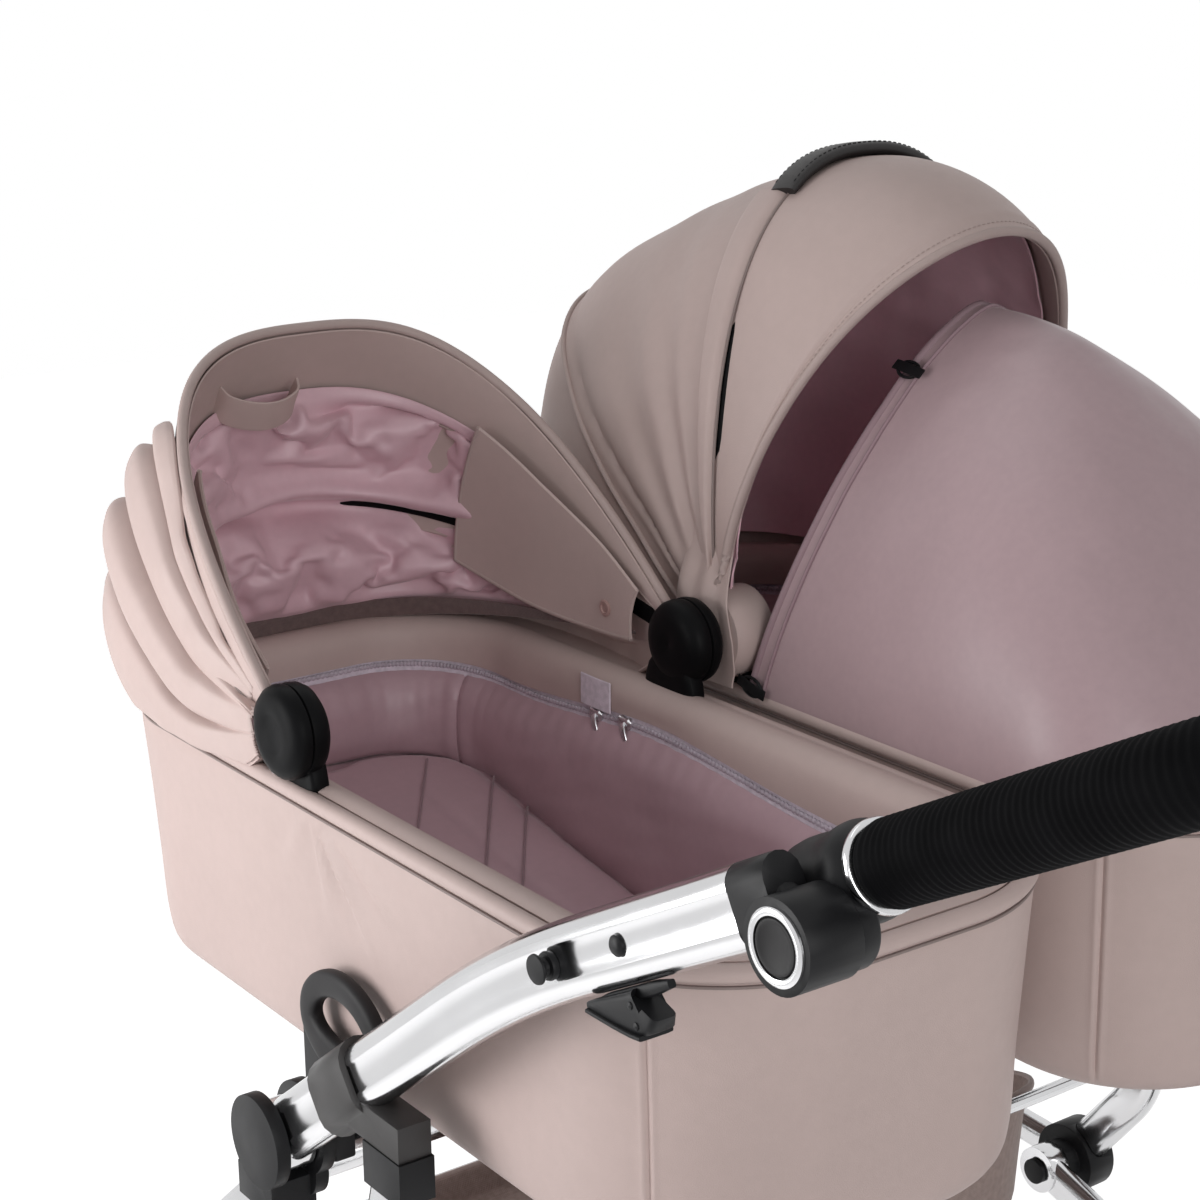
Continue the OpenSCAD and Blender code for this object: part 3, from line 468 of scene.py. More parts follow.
def ring_skin(grid, thick):
    """A band that runs right round, with a thickness against its normals: outer rows, then inner rows,
    joined up."""
    slope = np.roll(grid, -1, 1) - np.roll(grid, 1, 1)
    n = _along(np.cross(np.gradient(grid, axis=0), slope), 1)
    both = np.concatenate([grid, (grid - n * thick)[::-1]])
    points = both.reshape(-1, 3)
    return points, outward(points, grid_quads(*both.shape[:2], wrap_rows=True, wrap_columns=True))


def zip_height(y):
    """Height of the zip under the rim: it rises beside the hubs and dips towards the ends."""
    return knots(y, [-0.41, -0.16, 0.06, 0.24, 0.41], [-0.041, -0.038, -0.022, -0.034, -0.027])


def tub_cover(side):
    """Outside of a carrycot: a profile from the middle of the floor up the wall, over the rim and down
    inside, carried round the rim. Points move along the rim's normal by sewn grooves, by ridges that fan
    out below the hubs, and by a slow bulge."""
    loop, out, at, marks = rim_loop(420, SEAMS)
    rise = spline([(0.100, -0.2195), (0.045, -0.2198), (0.025, -0.2165), (0.0150, -0.206), (0.0112, -0.190),
                   (0.008, -0.130), (0.0045, -0.070), (0.0018, -0.030), (0.0010, -0.016), (0.0030, -0.006)],
                  52)
    fall = np.array([(0.0125, -0.005), (0.0135, -0.02), (0.022, -0.19), (0.040, -0.206), (0.100, -0.206)])
    profile = np.concatenate([rise, fall])
    grid = ring_grid(profile, loop, out)
    x, y, z = grid[..., 0], grid[..., 1], grid[..., 2]
    wall = ease(z, -0.216, -0.200) * (1 - ease(z, -0.020, -0.012))
    wall[len(rise):] = 0
    push = 0.0011 * waves(at[None] * 1.0, z * 1.4, 5 + (side == "right"), 9, 3)
    for mark in marks:
        q = at[None] - mark
        push = push - 0.0016 * bell(q, 0, 0.0014) + 0.0007 * bell(np.abs(q), 0.0042, 0.0022)
    flank = ease(np.abs(x), 0.150, 0.172)
    for tip_y, tip_z, height in ((-0.030, -0.060, 2.2), (-0.055, -0.100, 2.6), (-0.100, -0.066, 1.8),
                                 (0.010, -0.085, 1.7), (0.075, -0.070, 1.2)):
        a, b = np.array([0.028, 0.002]), np.array([tip_y, tip_z])
        length = np.linalg.norm(b - a)
        u = (b - a) / length
        along = ((y - a[0]) * u[0] + (z - a[1]) * u[1]) / length
        off = -(y - a[0]) * u[1] + (z - a[1]) * u[0]
        width = 0.004 + 0.007 * np.clip(along, 0, 1.3)
        fold = bell(off, 0, width) - 0.55 * bell(off, 1.7 * width, width)
        push = push + flank * fold * height / 600 * ease(along, 0.02, 0.25) * (1 - ease(along, 0.65, 1.15))
    push = push * wall
    grid[..., :2] += push[..., None] * out[None]
    ends = []
    for height in (-0.2195, -0.206):
        y_mid = np.clip(loop[:, 1], -0.21, 0.21)
        ends.append(np.stack([0 * y_mid, y_mid, np.full(len(y_mid), height)], 1)[None])
    grid = np.concatenate([ends[0], grid, ends[1]])
    points = place(grid, side).reshape(-1, 3)
    quads = outward(points, grid_quads(*grid.shape[:2], wrap_columns=True))
    return piece("tub_cover_" + side, points, quads, LEATHER, "carrycot_" + side, ["shell_" + side],
                 "leatherette", sharp=60, merge=True)


def stitches(path, up, pitch, length, thick):
    """Short rounded stitches along a path: one capsule of few faces set at each step, along the path's
    direction."""
    s = np.concatenate([[0], np.cumsum(np.linalg.norm(np.diff(path, axis=0), axis=1))])
    at = np.arange(pitch / 2, s[-1], pitch)
    middle = np.stack([np.interp(at, s, path[:, c]) for c in range(3)], 1)
    ahead = np.stack([np.interp(at + 0.001, s, path[:, c]) for c in range(3)], 1)
    back = np.stack([np.interp(at - 0.001, s, path[:, c]) for c in range(3)], 1)
    tangent = _along(ahead - back, 1)
    up = np.broadcast_to(np.asarray(up, float), path.shape)
    lift = np.stack([np.interp(at, s, up[:, c]) for c in range(3)], 1)
    across = _along(np.cross(tangent, lift), 1)
    rise = np.cross(across, tangent)
    ring = oval(1, 1, 6)
    spans, sizes = np.array([-0.5, -0.34, 0.34, 0.5]), np.array([0.35, 1, 1, 0.35])
    local = (spans[:, None, None, None] * length * tangent[None, None]
             + sizes[:, None, None, None] * thick * (ring[None, :, 0, None, None] * across[None, None]
                                                     + ring[None, :, 1, None, None] * rise[None, None]))
    points = np.moveaxis(local, 2, 0) + middle[:, None, None]
    one = np.concatenate([grid_quads(4, 6, wrap_columns=True), [[0, 1, 2, 3], [3, 4, 5, 0]],
                          [[21, 20, 19, 18], [18, 23, 22, 21]]])
    first = points[0].reshape(-1, 3)
    one = outward(first - first.mean(0), one)
    quads = (one[None] + 24 * np.arange(len(points))[:, None, None]).reshape(-1, 4)
    return points.reshape(-1, 3), quads


def rim_trim(side):
    """Rolled binding on the rim, the seam below it drawn as a dark line of painted shadow under the roll,
    the leatherette facing inside and the stitches along it."""
    body = "carrycot_" + side
    loop, out, at, _ = rim_loop(380)
    line = np.concatenate([loop - 0.0042 * out, np.full((len(loop), 1), -0.0025)], 1)
    section = oval(0.0135, 0.0125, 18)
    piece("rim_roll_" + side, *sweep(place(line, side), section, UP, closed=True), LEATHER, body,
          slot="leatherette")
    # A thin dark cord just under the roll: painted shadow where the roll overhangs the wall.
    line = np.concatenate([loop - 0.0012 * out, np.full((len(loop), 1), -0.0105)], 1)
    piece("rim_seam_shadow_" + side, *sweep(place(line, side), oval(0.0030, 0.0024, 8), UP, closed=True), SEAM_SHADE_LOOK,
          body, slot="leatherette")
    rows = spline([(0.0100, 0.0010), (0.0165, 0.0032), (0.026, 0.0016), (0.0335, -0.0050),
                   (0.0362, -0.0150), (0.0362, -0.0300)], 16)
    grid = ring_grid(rows, loop, out)
    drop = ease(-grid[..., 2], 0.004, 0.030)
    grid[..., 2] += drop * (zip_height(grid[..., 1]) + 0.030)
    ripple = 0.0012 * waves(at[None], rows[:, 1, None] * 2, 21, 26, 3) * (0.3 + drop)
    grid[..., :2] += ripple[..., None] * out[None]
    piece("rim_facing_" + side, *ring_skin(place(grid, side), 0.0026), LEATHER, body, slot="leatherette")
    edge = grid[-3] - np.concatenate([0.0016 * out, 0 * out[:, :1]], 1)
    edge = np.concatenate([edge, edge[:1]])
    lean = np.concatenate([-out, 0 * out[:, :1]], 1)
    piece("facing_stitches_" + side, *stitches(place(edge, side), np.concatenate([lean, lean[:1]]), 0.0046,
                                               0.0031, 0.0009),
          PIPING, body, slot="leatherette")


def zip_and_wall(side):
    """Zip tape with its coil below the facing, and the padded satin wall: both are profiles carried round
    the rim. The wall swells inwards and is gathered into puckers that start at the zip and die away
    downwards."""
    body = "carrycot_" + side
    loop, out, at, _ = rim_loop(520)
    tape = ring_grid([(0.0352, 0.004), (0.0345, 0.0), (0.0352, -0.005), (0.0372, -0.011),
                      (0.0380, -0.0160)], loop, out)
    tape[..., 2] += zip_height(tape[..., 1])
    piece("zip_tape_" + side, *ring_skin(place(tape, side), 0.0012), TAPE, body, slot="satin")
    fine, fine_out, fine_at, _ = rim_loop(1900)
    wide = 1 + 0.28 * np.sin(fine_at * 2 * np.pi / 0.0046)
    line = np.concatenate([fine - 0.0378 * fine_out, (zip_height(fine[:, 1]) - 0.0062)[:, None]], 1)
    section = oval(0.0030, 0.0042, 8)[None] * wide[:, None, None]
    piece("zip_coil_" + side, *sweep(place(line, side), section, UP, closed=True), COIL, body, slot="satin")
    rows = spline([(0.0365, 0.0), (0.0415, 0.05), (0.0480, 0.15), (0.0530, 0.35), (0.0548, 0.60),
                   (0.0540, 0.80), (0.0505, 0.92), (0.0440, 1.0), (0.0400, 1.07), (0.0385, 1.18)], 48)
    grid = ring_grid(rows * np.array([1, 0]), loop, out)
    start = zip_height(grid[..., 1]) - 0.0135
    depth = rows[:, 1, None] * (start - mattress_top(grid[..., 1]) + 0.006)
    grid[..., 2] = start - depth
    wave = np.sin(at[None] * 2 * np.pi / 0.021 + 1.7 * waves(at[None], 0 * depth, 31, 30, 3))
    pucker = (wave * 0.0010 * np.exp(-depth / 0.018) * (1 - np.exp(-depth / 0.004))
              * (0.6 + 0.5 * waves(at[None], 0 * depth, 32, 14, 2)))
    soft = (0.0022 * waves(at[None] * 1.0, depth * 2.2, 33 + (side == "right"), 20, 4)
            * ease(depth, 0.0, 0.03))
    push = pucker + soft
    for mark in (0.27, 0.87, 1.258, 1.86):
        q = at[None] - mark
        push = push - 0.0042 * bell(q, 0, 0.0030) + 0.0010 * bell(np.abs(q), 0.014, 0.009)
    grid[..., :2] -= push[..., None] * out[None]
    wall = piece("satin_wall_" + side, *ring_skin(place(grid, side), 0.004), SATIN, body, ["liner_" + side],
                 "satin")


def zip_pulls():
    """Two sliders with tongues on the left zip and the tab of hook tape on its facing: small bodies from
    rounded sections along short paths."""
    parts = []
    for y in (0.134, 0.094):
        x, z = HALF_W - 0.0385, zip_height(np.array(y)) - 0.0062
        path = np.array([[x, y - 0.0085, z], [x, y - 0.006, z], [x, y, z], [x, y + 0.006, z],
                         [x, y + 0.0085, z]])
        widths = np.array([0.4, 1, 0.8, 1, 0.4])
        parts.append(sweep(place(path, "left"), oval(0.0062, 0.0105, 16, 3)[None] * widths[:, None, None],
                           UP))
        path = np.array([[x - 0.003, y, z], [x - 0.0055, y - 0.003, z - 0.004],
                         [x - 0.006, y - 0.007, z - 0.012], [x - 0.006, y - 0.010, z - 0.021]])
        path = spline(path, 9)
        parts.append(sweep(place(path, "left"), oval(0.0022, 0.0058, 12, 3), (0, 1, 0)))
    piece("zip_sliders", *gather(*parts), STEEL, "carrycot_left", slot="steel")
    y, z = np.meshgrid(np.linspace(0.114, 0.154, 8), np.linspace(-0.001, -0.0265, 8), indexing="ij")
    x = HALF_W - 0.0402 - 0.0008 * np.sin((y - 0.114) / 0.040 * np.pi)
    piece("hook_tab", *skin(place(np.stack([x, y, z], -1), "left"), 0.0016), TAPE, "carrycot_left",
          slot="satin")


def half_width(y, inset):
    """Half width of the rounded plan at y, for a plan drawn in by inset."""
    r = CORNER - inset
    over = np.maximum(np.abs(y) - (HALF_L - CORNER), 0)
    return HALF_W - CORNER + np.sqrt(np.maximum(r * r - over * over, 0))


def mattress_top(y):
    """Height of the mattress at its edge, which climbs a backrest towards the head."""
    return -0.1797 + 0.076 * (np.maximum(0, y / 0.367 + 0.1) / 1.1) ** 1.3


def mattress(side):
    """Quilted mattress on its raised backrest: a crowned cushion between two rounded plans, swollen by a
    cloth simulation, drawn in along a border seam and two long channels, and sewn with three slanting
    seams."""
    v, u = np.meshgrid(np.sin(np.linspace(-np.pi / 2, np.pi / 2, 90)) * 0.997, np.linspace(-1, 1, 56),
                       indexing="ij")
    y = v * 0.367
    half = half_width(y, 0.036)
    lift = 0.076 * (np.maximum(0, v + 0.1) / 1.1) ** 1.3
    edge = np.sqrt(1 - np.abs(v) ** 8) * np.sqrt(1 - np.abs(u) ** 6)
    low = -0.2077
    top = low + 0.018 + lift + 0.021 * edge
    upper = np.stack([u * half, y, top], -1)
    lower = np.stack([u * (half - 0.003), y, low + 0.012 - 0.012 * edge + 0.5 * lift], -1)
    both = np.concatenate([upper, lower[:, ::-1]], 1)
    points = place(both, side).reshape(-1, 3)
    n = both.shape[1]
    quads = grid_quads(*both.shape[:2], wrap_columns=True)
    j = np.arange(n // 2 - 1)
    cap = np.stack([j, j + 1, n - 2 - j, n - 1 - j], 1)
    quads = outward(points, np.concatenate([quads, cap[:, ::-1], cap + (len(both) - 1) * n]))
    obj = piece("mattress_pad_" + side, points, quads, QUILT, merge=True)
    swell(obj, 0.006, 4.0, 0.007)
    co = coords(obj.data)
    local = co - np.array([COT_X[side], COT_Y, RIM])
    across = local[:, 0] / half_width(local[:, 1], 0.036)
    up = ease(local[:, 2], low + 0.012, low + 0.028)
    inside = 1 - ease(np.abs(local[:, 1]), 0.29, 0.335)
    groove = bell(np.abs(across) - 0.34, 0, 0.030) * inside
    border = bell(np.minimum(1 - np.abs(across), (0.365 - np.abs(local[:, 1])) / 0.15), 0.14, 0.030)
    co[:, 2] -= up * (0.0020 * groove + 0.0044 * border)
    co[:, 2] += up * 0.0010 * waves(local[:, 0], local[:, 1], 41, 34, 3)
    obj.data.vertices.foreach_set("co", co.ravel())
    # The three slanting seams are thin cords in darker satin: painted shade of sewn dips, which the pad
    # itself does not dent.
    seams = []
    for at in (-0.1135, -0.053, -0.0215):
        q = np.linspace(-0.30, 0.30, 120)
        spot = np.stack([0.778 * at + 0.564 * q, -0.564 * at + 0.778 * q], 1)
        within = np.abs(spot[:, 0]) < 0.95 * half_width(spot[:, 1], 0.036)
        spot = spot[within & (np.abs(spot[:, 1]) < 0.34)]
        gap = np.square(spot[:, None] - local[None, :, :2]).sum(2) + (up < 0.5)[None]
        near = np.argsort(gap, axis=1)[:, :8]
        high = np.convolve(np.pad((co[near, 2] - RIM).max(1), 4, mode="edge"), np.ones(9) / 9, "valid")
        line = np.concatenate([spot, high[:, None] + 0.0006], 1)
        seams.append(sweep(place(line, side), oval(0.0021, 0.0021, 8), UP))
    piece("mattress_seams_" + side, *gather(*seams), SEAM_DIP_SHADE_SATIN, "carrycot_" + side, slot="mattress_cloth")
    smooth = obj.modifiers.new("finer", "SUBSURF")
    smooth.levels = smooth.render_levels = 1
    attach(obj, "carrycot_" + side)
    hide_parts("mattress_" + side)


def coords(mesh):
    """Vertex places of a mesh as an array."""
    co = np.empty(len(mesh.vertices) * 3)
    mesh.vertices.foreach_get("co", co)
    return co.reshape(-1, 3)


def swell(obj, voxel, pressure, cap):
    """Cloth simulation on a closed pad: remeshed evenly, blown up for 20 frames without gravity, then every
    point is kept within cap of the nearest place of the pad it started from."""
    remesh = obj.modifiers.new("even", "REMESH")
    remesh.mode = "VOXEL"
    remesh.voxel_size = voxel
    bake(obj)
    start = coords(obj.data)
    sim = obj.modifiers.new("cloth", "CLOTH")
    sim.settings.quality = 5
    sim.settings.mass = 0.2
    sim.settings.use_pressure = True
    sim.settings.uniform_pressure_force = pressure
    sim.settings.effector_weights.gravity = 0
    sim.point_cache.frame_start, sim.point_cache.frame_end = 1, 20
    run_frames(20)
    bake(obj)
    move = coords(obj.data) - start
    far = np.linalg.norm(move, axis=1, keepdims=True)
    obj.data.vertices.foreach_set("co", (start + move * np.minimum(1, cap / np.maximum(far, 1e-9))).ravel())


def run_frames(last):
    scene = bpy.context.scene
    for number in range(1, last + 1):
        scene.frame_set(number)


def bake(obj):
    """The modifiers' result becomes the mesh, and none is left."""
    bpy.context.view_layer.update()
    mesh = bpy.data.meshes.new_from_object(obj.evaluated_get(bpy.context.evaluated_depsgraph_get()))
    obj.modifiers.clear()
    old = obj.data
    obj.data = mesh
    bpy.data.meshes.remove(old)
    mesh.polygons.foreach_set("use_smooth", np.ones(len(mesh.polygons), bool))


# Hoods

HUB = np.array([0.0, HUB_Y, HUB_Z])


def arch(count, half, radius, power, low=0.031):
    """Half-hoop in the hood's own plane: across = half |cos t|^(2/power) with its sign, reach = radius sin
    t^(2/power), at even steps of its length between the two hubs."""
    t = np.linspace(0, np.pi, 1200)
    c, s = np.cos(t), np.maximum(np.sin(t), 0)
    x = half * np.sign(c) * np.abs(c) ** (2 / power)
    r = radius * s ** (2 / power)
    keep = r >= low
    x, r = x[keep], r[keep]
    k = np.concatenate([[0], np.cumsum(np.hypot(np.diff(x), np.diff(r)))])
    at = np.linspace(0, k[-1], count)
    return np.interp(at, k, x), np.interp(at, k, r)


def turned(x, r, angle):
    """Points at a reach r from the hub axis and an angle above level at the head end."""
    a = np.radians(angle)
    return np.stack(np.broadcast_arrays(x, HUB_Y + r * np.cos(a), HUB_Z + r * np.sin(a)), -1)


def hoop_lean(x, r, angle):
    """Directions in which an arch at an angle moves as it turns about the hub axis."""
    near = turned(x[None], r[None], angle + np.array([[-1.0], [0.0], [1.0]]))
    return _along(np.gradient(near, axis=0)[1], 1)


def hood_sheet(rows, columns, shape, grow=0.0):
    """A hood's cloth as a grid: each row is an arch whose half width, reach, squareness, angle and lag near
    the hubs come from shape(v); grow moves it outwards."""
    lines = []
    for v in rows:
        half, radius, power, angle, lag = shape(v)
        x, r = arch(columns, half + grow, radius + grow, power)
        lines.append(turned(x, r, angle + lag * (1 - r / radius)))
    return np.array(lines)


VISORS = {
    "left": lambda v: (0.186, knots(v, [0, 0.5, 1], [0.369, 0.371, 0.369]), 2.3 + 0.6 * v, 8.0 + 32.3 * v,
                       0.0),
    "right": lambda v: (0.187 + 0.005 * v, knots(v, [0, 0.3, 0.65, 1], [0.3705, 0.3695, 0.362, 0.345]),
                        2.28 - 0.31 * v, 80.0 + 30.4 * v, -18.0 * v * v),
}


def edge_path(grid, row):
    """A row of a sheet as a path, with the direction across the sheet there."""
    slope = np.gradient(grid, axis=0)[row]
    return grid[row], _along(slope, 1)


def visor(side):
    """Front cloth of a hood: a padded sheet over the hoop, with a corded front edge and a row of
    stitches."""
    body = "hood_" + side
    rows = np.linspace(0, 1, 44)
    grid = hood_sheet(rows, 150, VISORS[side])
    v = rows[:, None]
    u = np.linspace(-1, 1, 150)[None]
    n = normals_of(grid)
    n = n * np.sign(((grid - HUB) * n).sum(-1, keepdims=True))
    push = (0.0012 * waves(u * 1.2, v * 0.5, 51 + (side == "right"), 6, 3)
            - 0.0016 * bell(v, 0.925, 0.012) + 0.0008 * bell(v, 0.89, 0.02))
    grid = grid + n * push[..., None]
    flip = 1 if ((normals_of(grid) * n).sum() > 0) else -1
    obj = piece("visor_" + side, *skin(place(grid, side), 0.0042 * flip), LEATHER, body,
                ["hood_front_" + side], "leatherette")
    path, lean = edge_path(grid, -1)
    middle = path - n[-1] * 0.0021
    piece("visor_cord_" + side, *sweep(place(middle, side), oval(0.0085, 0.0075, 14), lean), PIPING, body,
          slot="leatherette")
    path, lean = edge_path(grid, 41)
    piece("visor_stitches_" + side, *stitches(place(path + n[41] * 0.0003, side), n[41], 0.0048, 0.0032,
                                              0.0009), PIPING,
          body, slot="leatherette")
    inner = hood_sheet(np.linspace({"left": 0.60, "right": 0.70}[side], 0.985, 22), 140, VISORS[side],
                       -0.0062)
    m = normals_of(inner)
    m = m * np.sign(((inner - HUB) * m).sum(-1, keepdims=True))
    inner = inner - m * (0.0014 * np.sin(np.linspace(0, np.pi, 22)))[:, None, None]
    flip = 1 if ((normals_of(inner) * m).sum() > 0) else -1
    piece("visor_facing_" + side, *skin(place(inner, side), 0.0018 * flip), LEATHER, body,
          slot="leatherette")
    path, lean = edge_path(inner, 0)
    piece("facing_edge_" + side, *sweep(place(path, side), oval(0.0050, 0.0040, 10), lean), PIPING, body,
          slot="leatherette")
    return grid


def canopy_shape(angle):
    """Reach and squareness of the raised hood's rear cloth at an angle: square at the rim, fullest over the
    rear hoop, drawn in between the hoops."""
    reach = knots(angle, [-8, 15, 35, 42, 55, 72, 82], [0.350, 0.381, 0.404, 0.396, 0.376, 0.366, 0.3695])
    power = knots(angle, [-8, 20, 35, 60, 82], [3.9, 3.5, 3.1, 2.5, 2.28])
    return reach, power


def canopy_right(grow=0.0, columns=170, count=96, last=82.0, first=0.0):
    """Rear cloth of the raised hood as a grid from the rim to the main hoop. At the rim every point is
    level with it; higher rows turn about the hub axis in even shares. The folds that fan out from the hubs
    between the two hoops are pushed in afterwards by raised_hood."""
    lines = []
    for s in np.linspace(first, 1, count):
        angle = -7 * (1 - s) + last * s
        reach, power = canopy_shape(np.array(angle))
        x, r = arch(columns, 0.1855 + 0.0015 * s + grow, float(reach) + grow, float(power))
        drop = HUB_Z * (1 - s)
        low = -np.degrees(np.arctan2(HUB_Z, r))
        line = turned(x, np.hypot(r, drop), low * (1 - s) + last * s)
        lines.append(line)
    return np.array(lines)


def fan_folds(grid, angles, heights, width):
    """Ridges at set angles about the hub axis, highest near the hubs and gone at the crown."""
    rel = grid - HUB
    angle = np.degrees(np.arctan2(rel[..., 2], rel[..., 1]))
    reach = np.hypot(rel[..., 1], rel[..., 2])
    fade = ease(reach, 0.05, 0.12) * (1 - 0.8 * ease(reach, 0.20, 0.36))
    push = 0
    for a, h in zip(angles, heights):
        push = push + h * (bell(angle, a, width) - 0.6 * bell(angle, a - 2.1 * width, width * 1.2))
    return push * fade


def outward_normals(grid):
    """Normals of a hood's sheet that point away from the middle of the hood."""
    n = normals_of(grid)
    return n * np.sign(((grid - HUB - np.array([0, 0, -0.02])) * n).sum(-1, keepdims=True))


def skin_out(grid, n, thick):
    """A sheet whose thickness goes inwards from the given outward normals."""
    flip = 1 if (normals_of(grid) * n).sum() > 0 else -1
    return skin(grid, thick * flip)


def raised_hood():
    """Rear cloth, sleeve over the main hoop, piping over the rear hoop and satin inside of the raised
    hood."""
    side = "right"
    grid = canopy_right()
    n = outward_normals(grid)
    rel = grid - HUB
    angle = np.degrees(np.arctan2(rel[..., 2], rel[..., 1]))
    u = np.linspace(-1, 1, grid.shape[1])[None]
    push = (fan_folds(grid, (58,), (0.0050,), 4.5) + fan_folds(grid, (68,), (0.0042,), 2.6)
            + fan_folds(grid, (45,), (0.0026,), 4.0))
    push = push + fan_folds(grid, (14,), (0.003,), 6)
    push = push + 0.0026 * waves(u * 1.5, angle / 60, 61, 6, 3) * ease(angle, -5, 10)
    push = push - 0.0022 * bell(angle, 37.2, 0.7) + 0.0012 * bell(angle, 34.6, 1.2)
    grid = grid + n * push[..., None]
    obj = piece("canopy_right", *skin_out(place(grid, side), n, 0.0035), LEATHER, None,
                ["hood_back_right", "hood_mid_right"], "leatherette")
    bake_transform(obj)
    row = int(np.argmin(np.abs(angle[:, angle.shape[1] // 2] - 36.0)))
    path, lean = edge_path(grid, row)
    cord = piece("rear_piping_right", *sweep(place(path + n[row] * 0.0008, side), oval(0.0052, 0.0045, 10),
                                             lean), PIPING,
                 slot="leatherette")
    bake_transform(cord)
    path = grid[0] + n[0] * 0.001
    cord = piece("hem_right", *sweep(place(path, side), oval(0.0065, 0.0055, 10), UP), PIPING,
                 slot="leatherette")
    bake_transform(cord)
    sleeve(side, 82.7)
    inner = np.concatenate([canopy_right(-0.0095, 150, 60, 82.0, 0.03),
                            hood_sheet(np.linspace(0.12, 0.78, 16), 150, VISORS[side], -0.009)])
    m = outward_normals(inner)
    rows = np.linspace(0, 1, len(inner))[:, None]
    u = np.linspace(-1, 1, 150)[None]
    crease = np.abs(waves(u * 1.6, rows * 1.6, 63, 9, 4))
    inner = inner + m * (0.004 * (crease - 0.5) - 0.003)[..., None]
    # The raised hood's lining uses satin painted lighter: painted light for its shaded inside.
    lining = piece("hood_lining_right", *skin_out(place(inner, side), m, 0.0014), RAISED_HOOD_SATIN_PAINTED_LIGHT, slot="satin")
    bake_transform(lining)


def sleeve(side, front):
    """The hoop's sleeve: a band about 40 mm wide just behind the visor's seam, crowned across its width, in
    two halves that stop at the carry handle, with a seam in front drawn as a dark line of painted shadow in
    its slit."""
    w = np.linspace(0, 1, 15)
    lines = []
    for q in w:
        x, r = arch(220, 0.1868, 0.3698, 2.28)
        lift = 0.0062 * (1 - abs(2 * q - 1) ** 5) + 0.0008
        wide = 1 - 0.72 * (1 - ease(r, 0.03, 0.10))
        lines.append(turned(x * (1 + lift / 0.187), r + lift, front - 0.3 - 6.6 * (1 - q) * wide))
    grid = np.array(lines)
    n = outward_normals(grid)
    body = "hood_" + side
    for part, half in (("near", grid[0, :, 0] < -0.076), ("far", grid[0, :, 0] > 0.076)):
        piece("hoop_sleeve_%s_%s" % (part, side), *skin_out(place(grid[:, half], side), n[:, half], 0.004),
              LEATHER, body, slot="leatherette")
    # The seam in front is a thin dark cord: painted shadow of the slit between sleeve and visor.
    x, r = arch(200, 0.1868, 0.3698, 2.28)
    path = turned(x, r, front)
    lean = hoop_lean(x, r, front)
    out = _along(path - turned(x * 0.2, 0 * r, front), 1)
    piece("hoop_seam_shadow_" + side, *sweep(place(path + 0.0018 * out, side), oval(0.0022, 0.0020, 8), lean),
          SEAM_SHADE_LOOK, body, slot="leatherette")


SIDE_FOLDS = [(-12, -9.6), (8, -10.5), (22, -8.5), (36, -4.5), (45, 1), (47, 6), (42, 10), (13, 12),
              (30, 12.8), (44, 15),
              (45.5, 18.5), (38, 21.5), (8, 23), (21, 23.8), (31, 26.5), (31.5, 30), (25, 33), (5, 34.4),
              (13, 35.2), (15, 37.2), (8, 39.2), (2, 40)]
CROWN_FOLDS = [(-12, -9.6), (8, -11.6), (18, -10.8), (25, -8.6), (25.5, -6.2), (22, -5), (20, -4.5),
               (11, -3.9), (12.5, -3.2),
               (26, -0.4), (25.5, 1.9), (18, 3.5), (9, 4.1), (11, 4.6), (22.5, 7.2), (18, 8.6), (12, 9.4),
               (7, 9.8), (5, 10), (4, 10.2), (3, 10.4), (2, 10.6)]


def refine(grid, times):
    """More rows and columns between those of a grid, by a cubic through each four neighbours both ways."""
    for axis in (0, 1):
        g = np.moveaxis(grid, axis, 0)
        last = len(g) - 1
        at = np.linspace(0, last, last * times + 1)
        i = np.minimum(at.astype(int), last - 1)
        t = (at - i)[:, None, None]
        a, b, c, d = g[np.maximum(i - 1, 0)], g[i], g[i + 1], g[np.minimum(i + 2, last)]
        g = b + 0.5 * t * (c - a + t * (2 * a - 5 * b + 4 * c - d + t * (3 * (b - c) + d - a)))
        grid = np.moveaxis(g, 0, axis)
    return grid


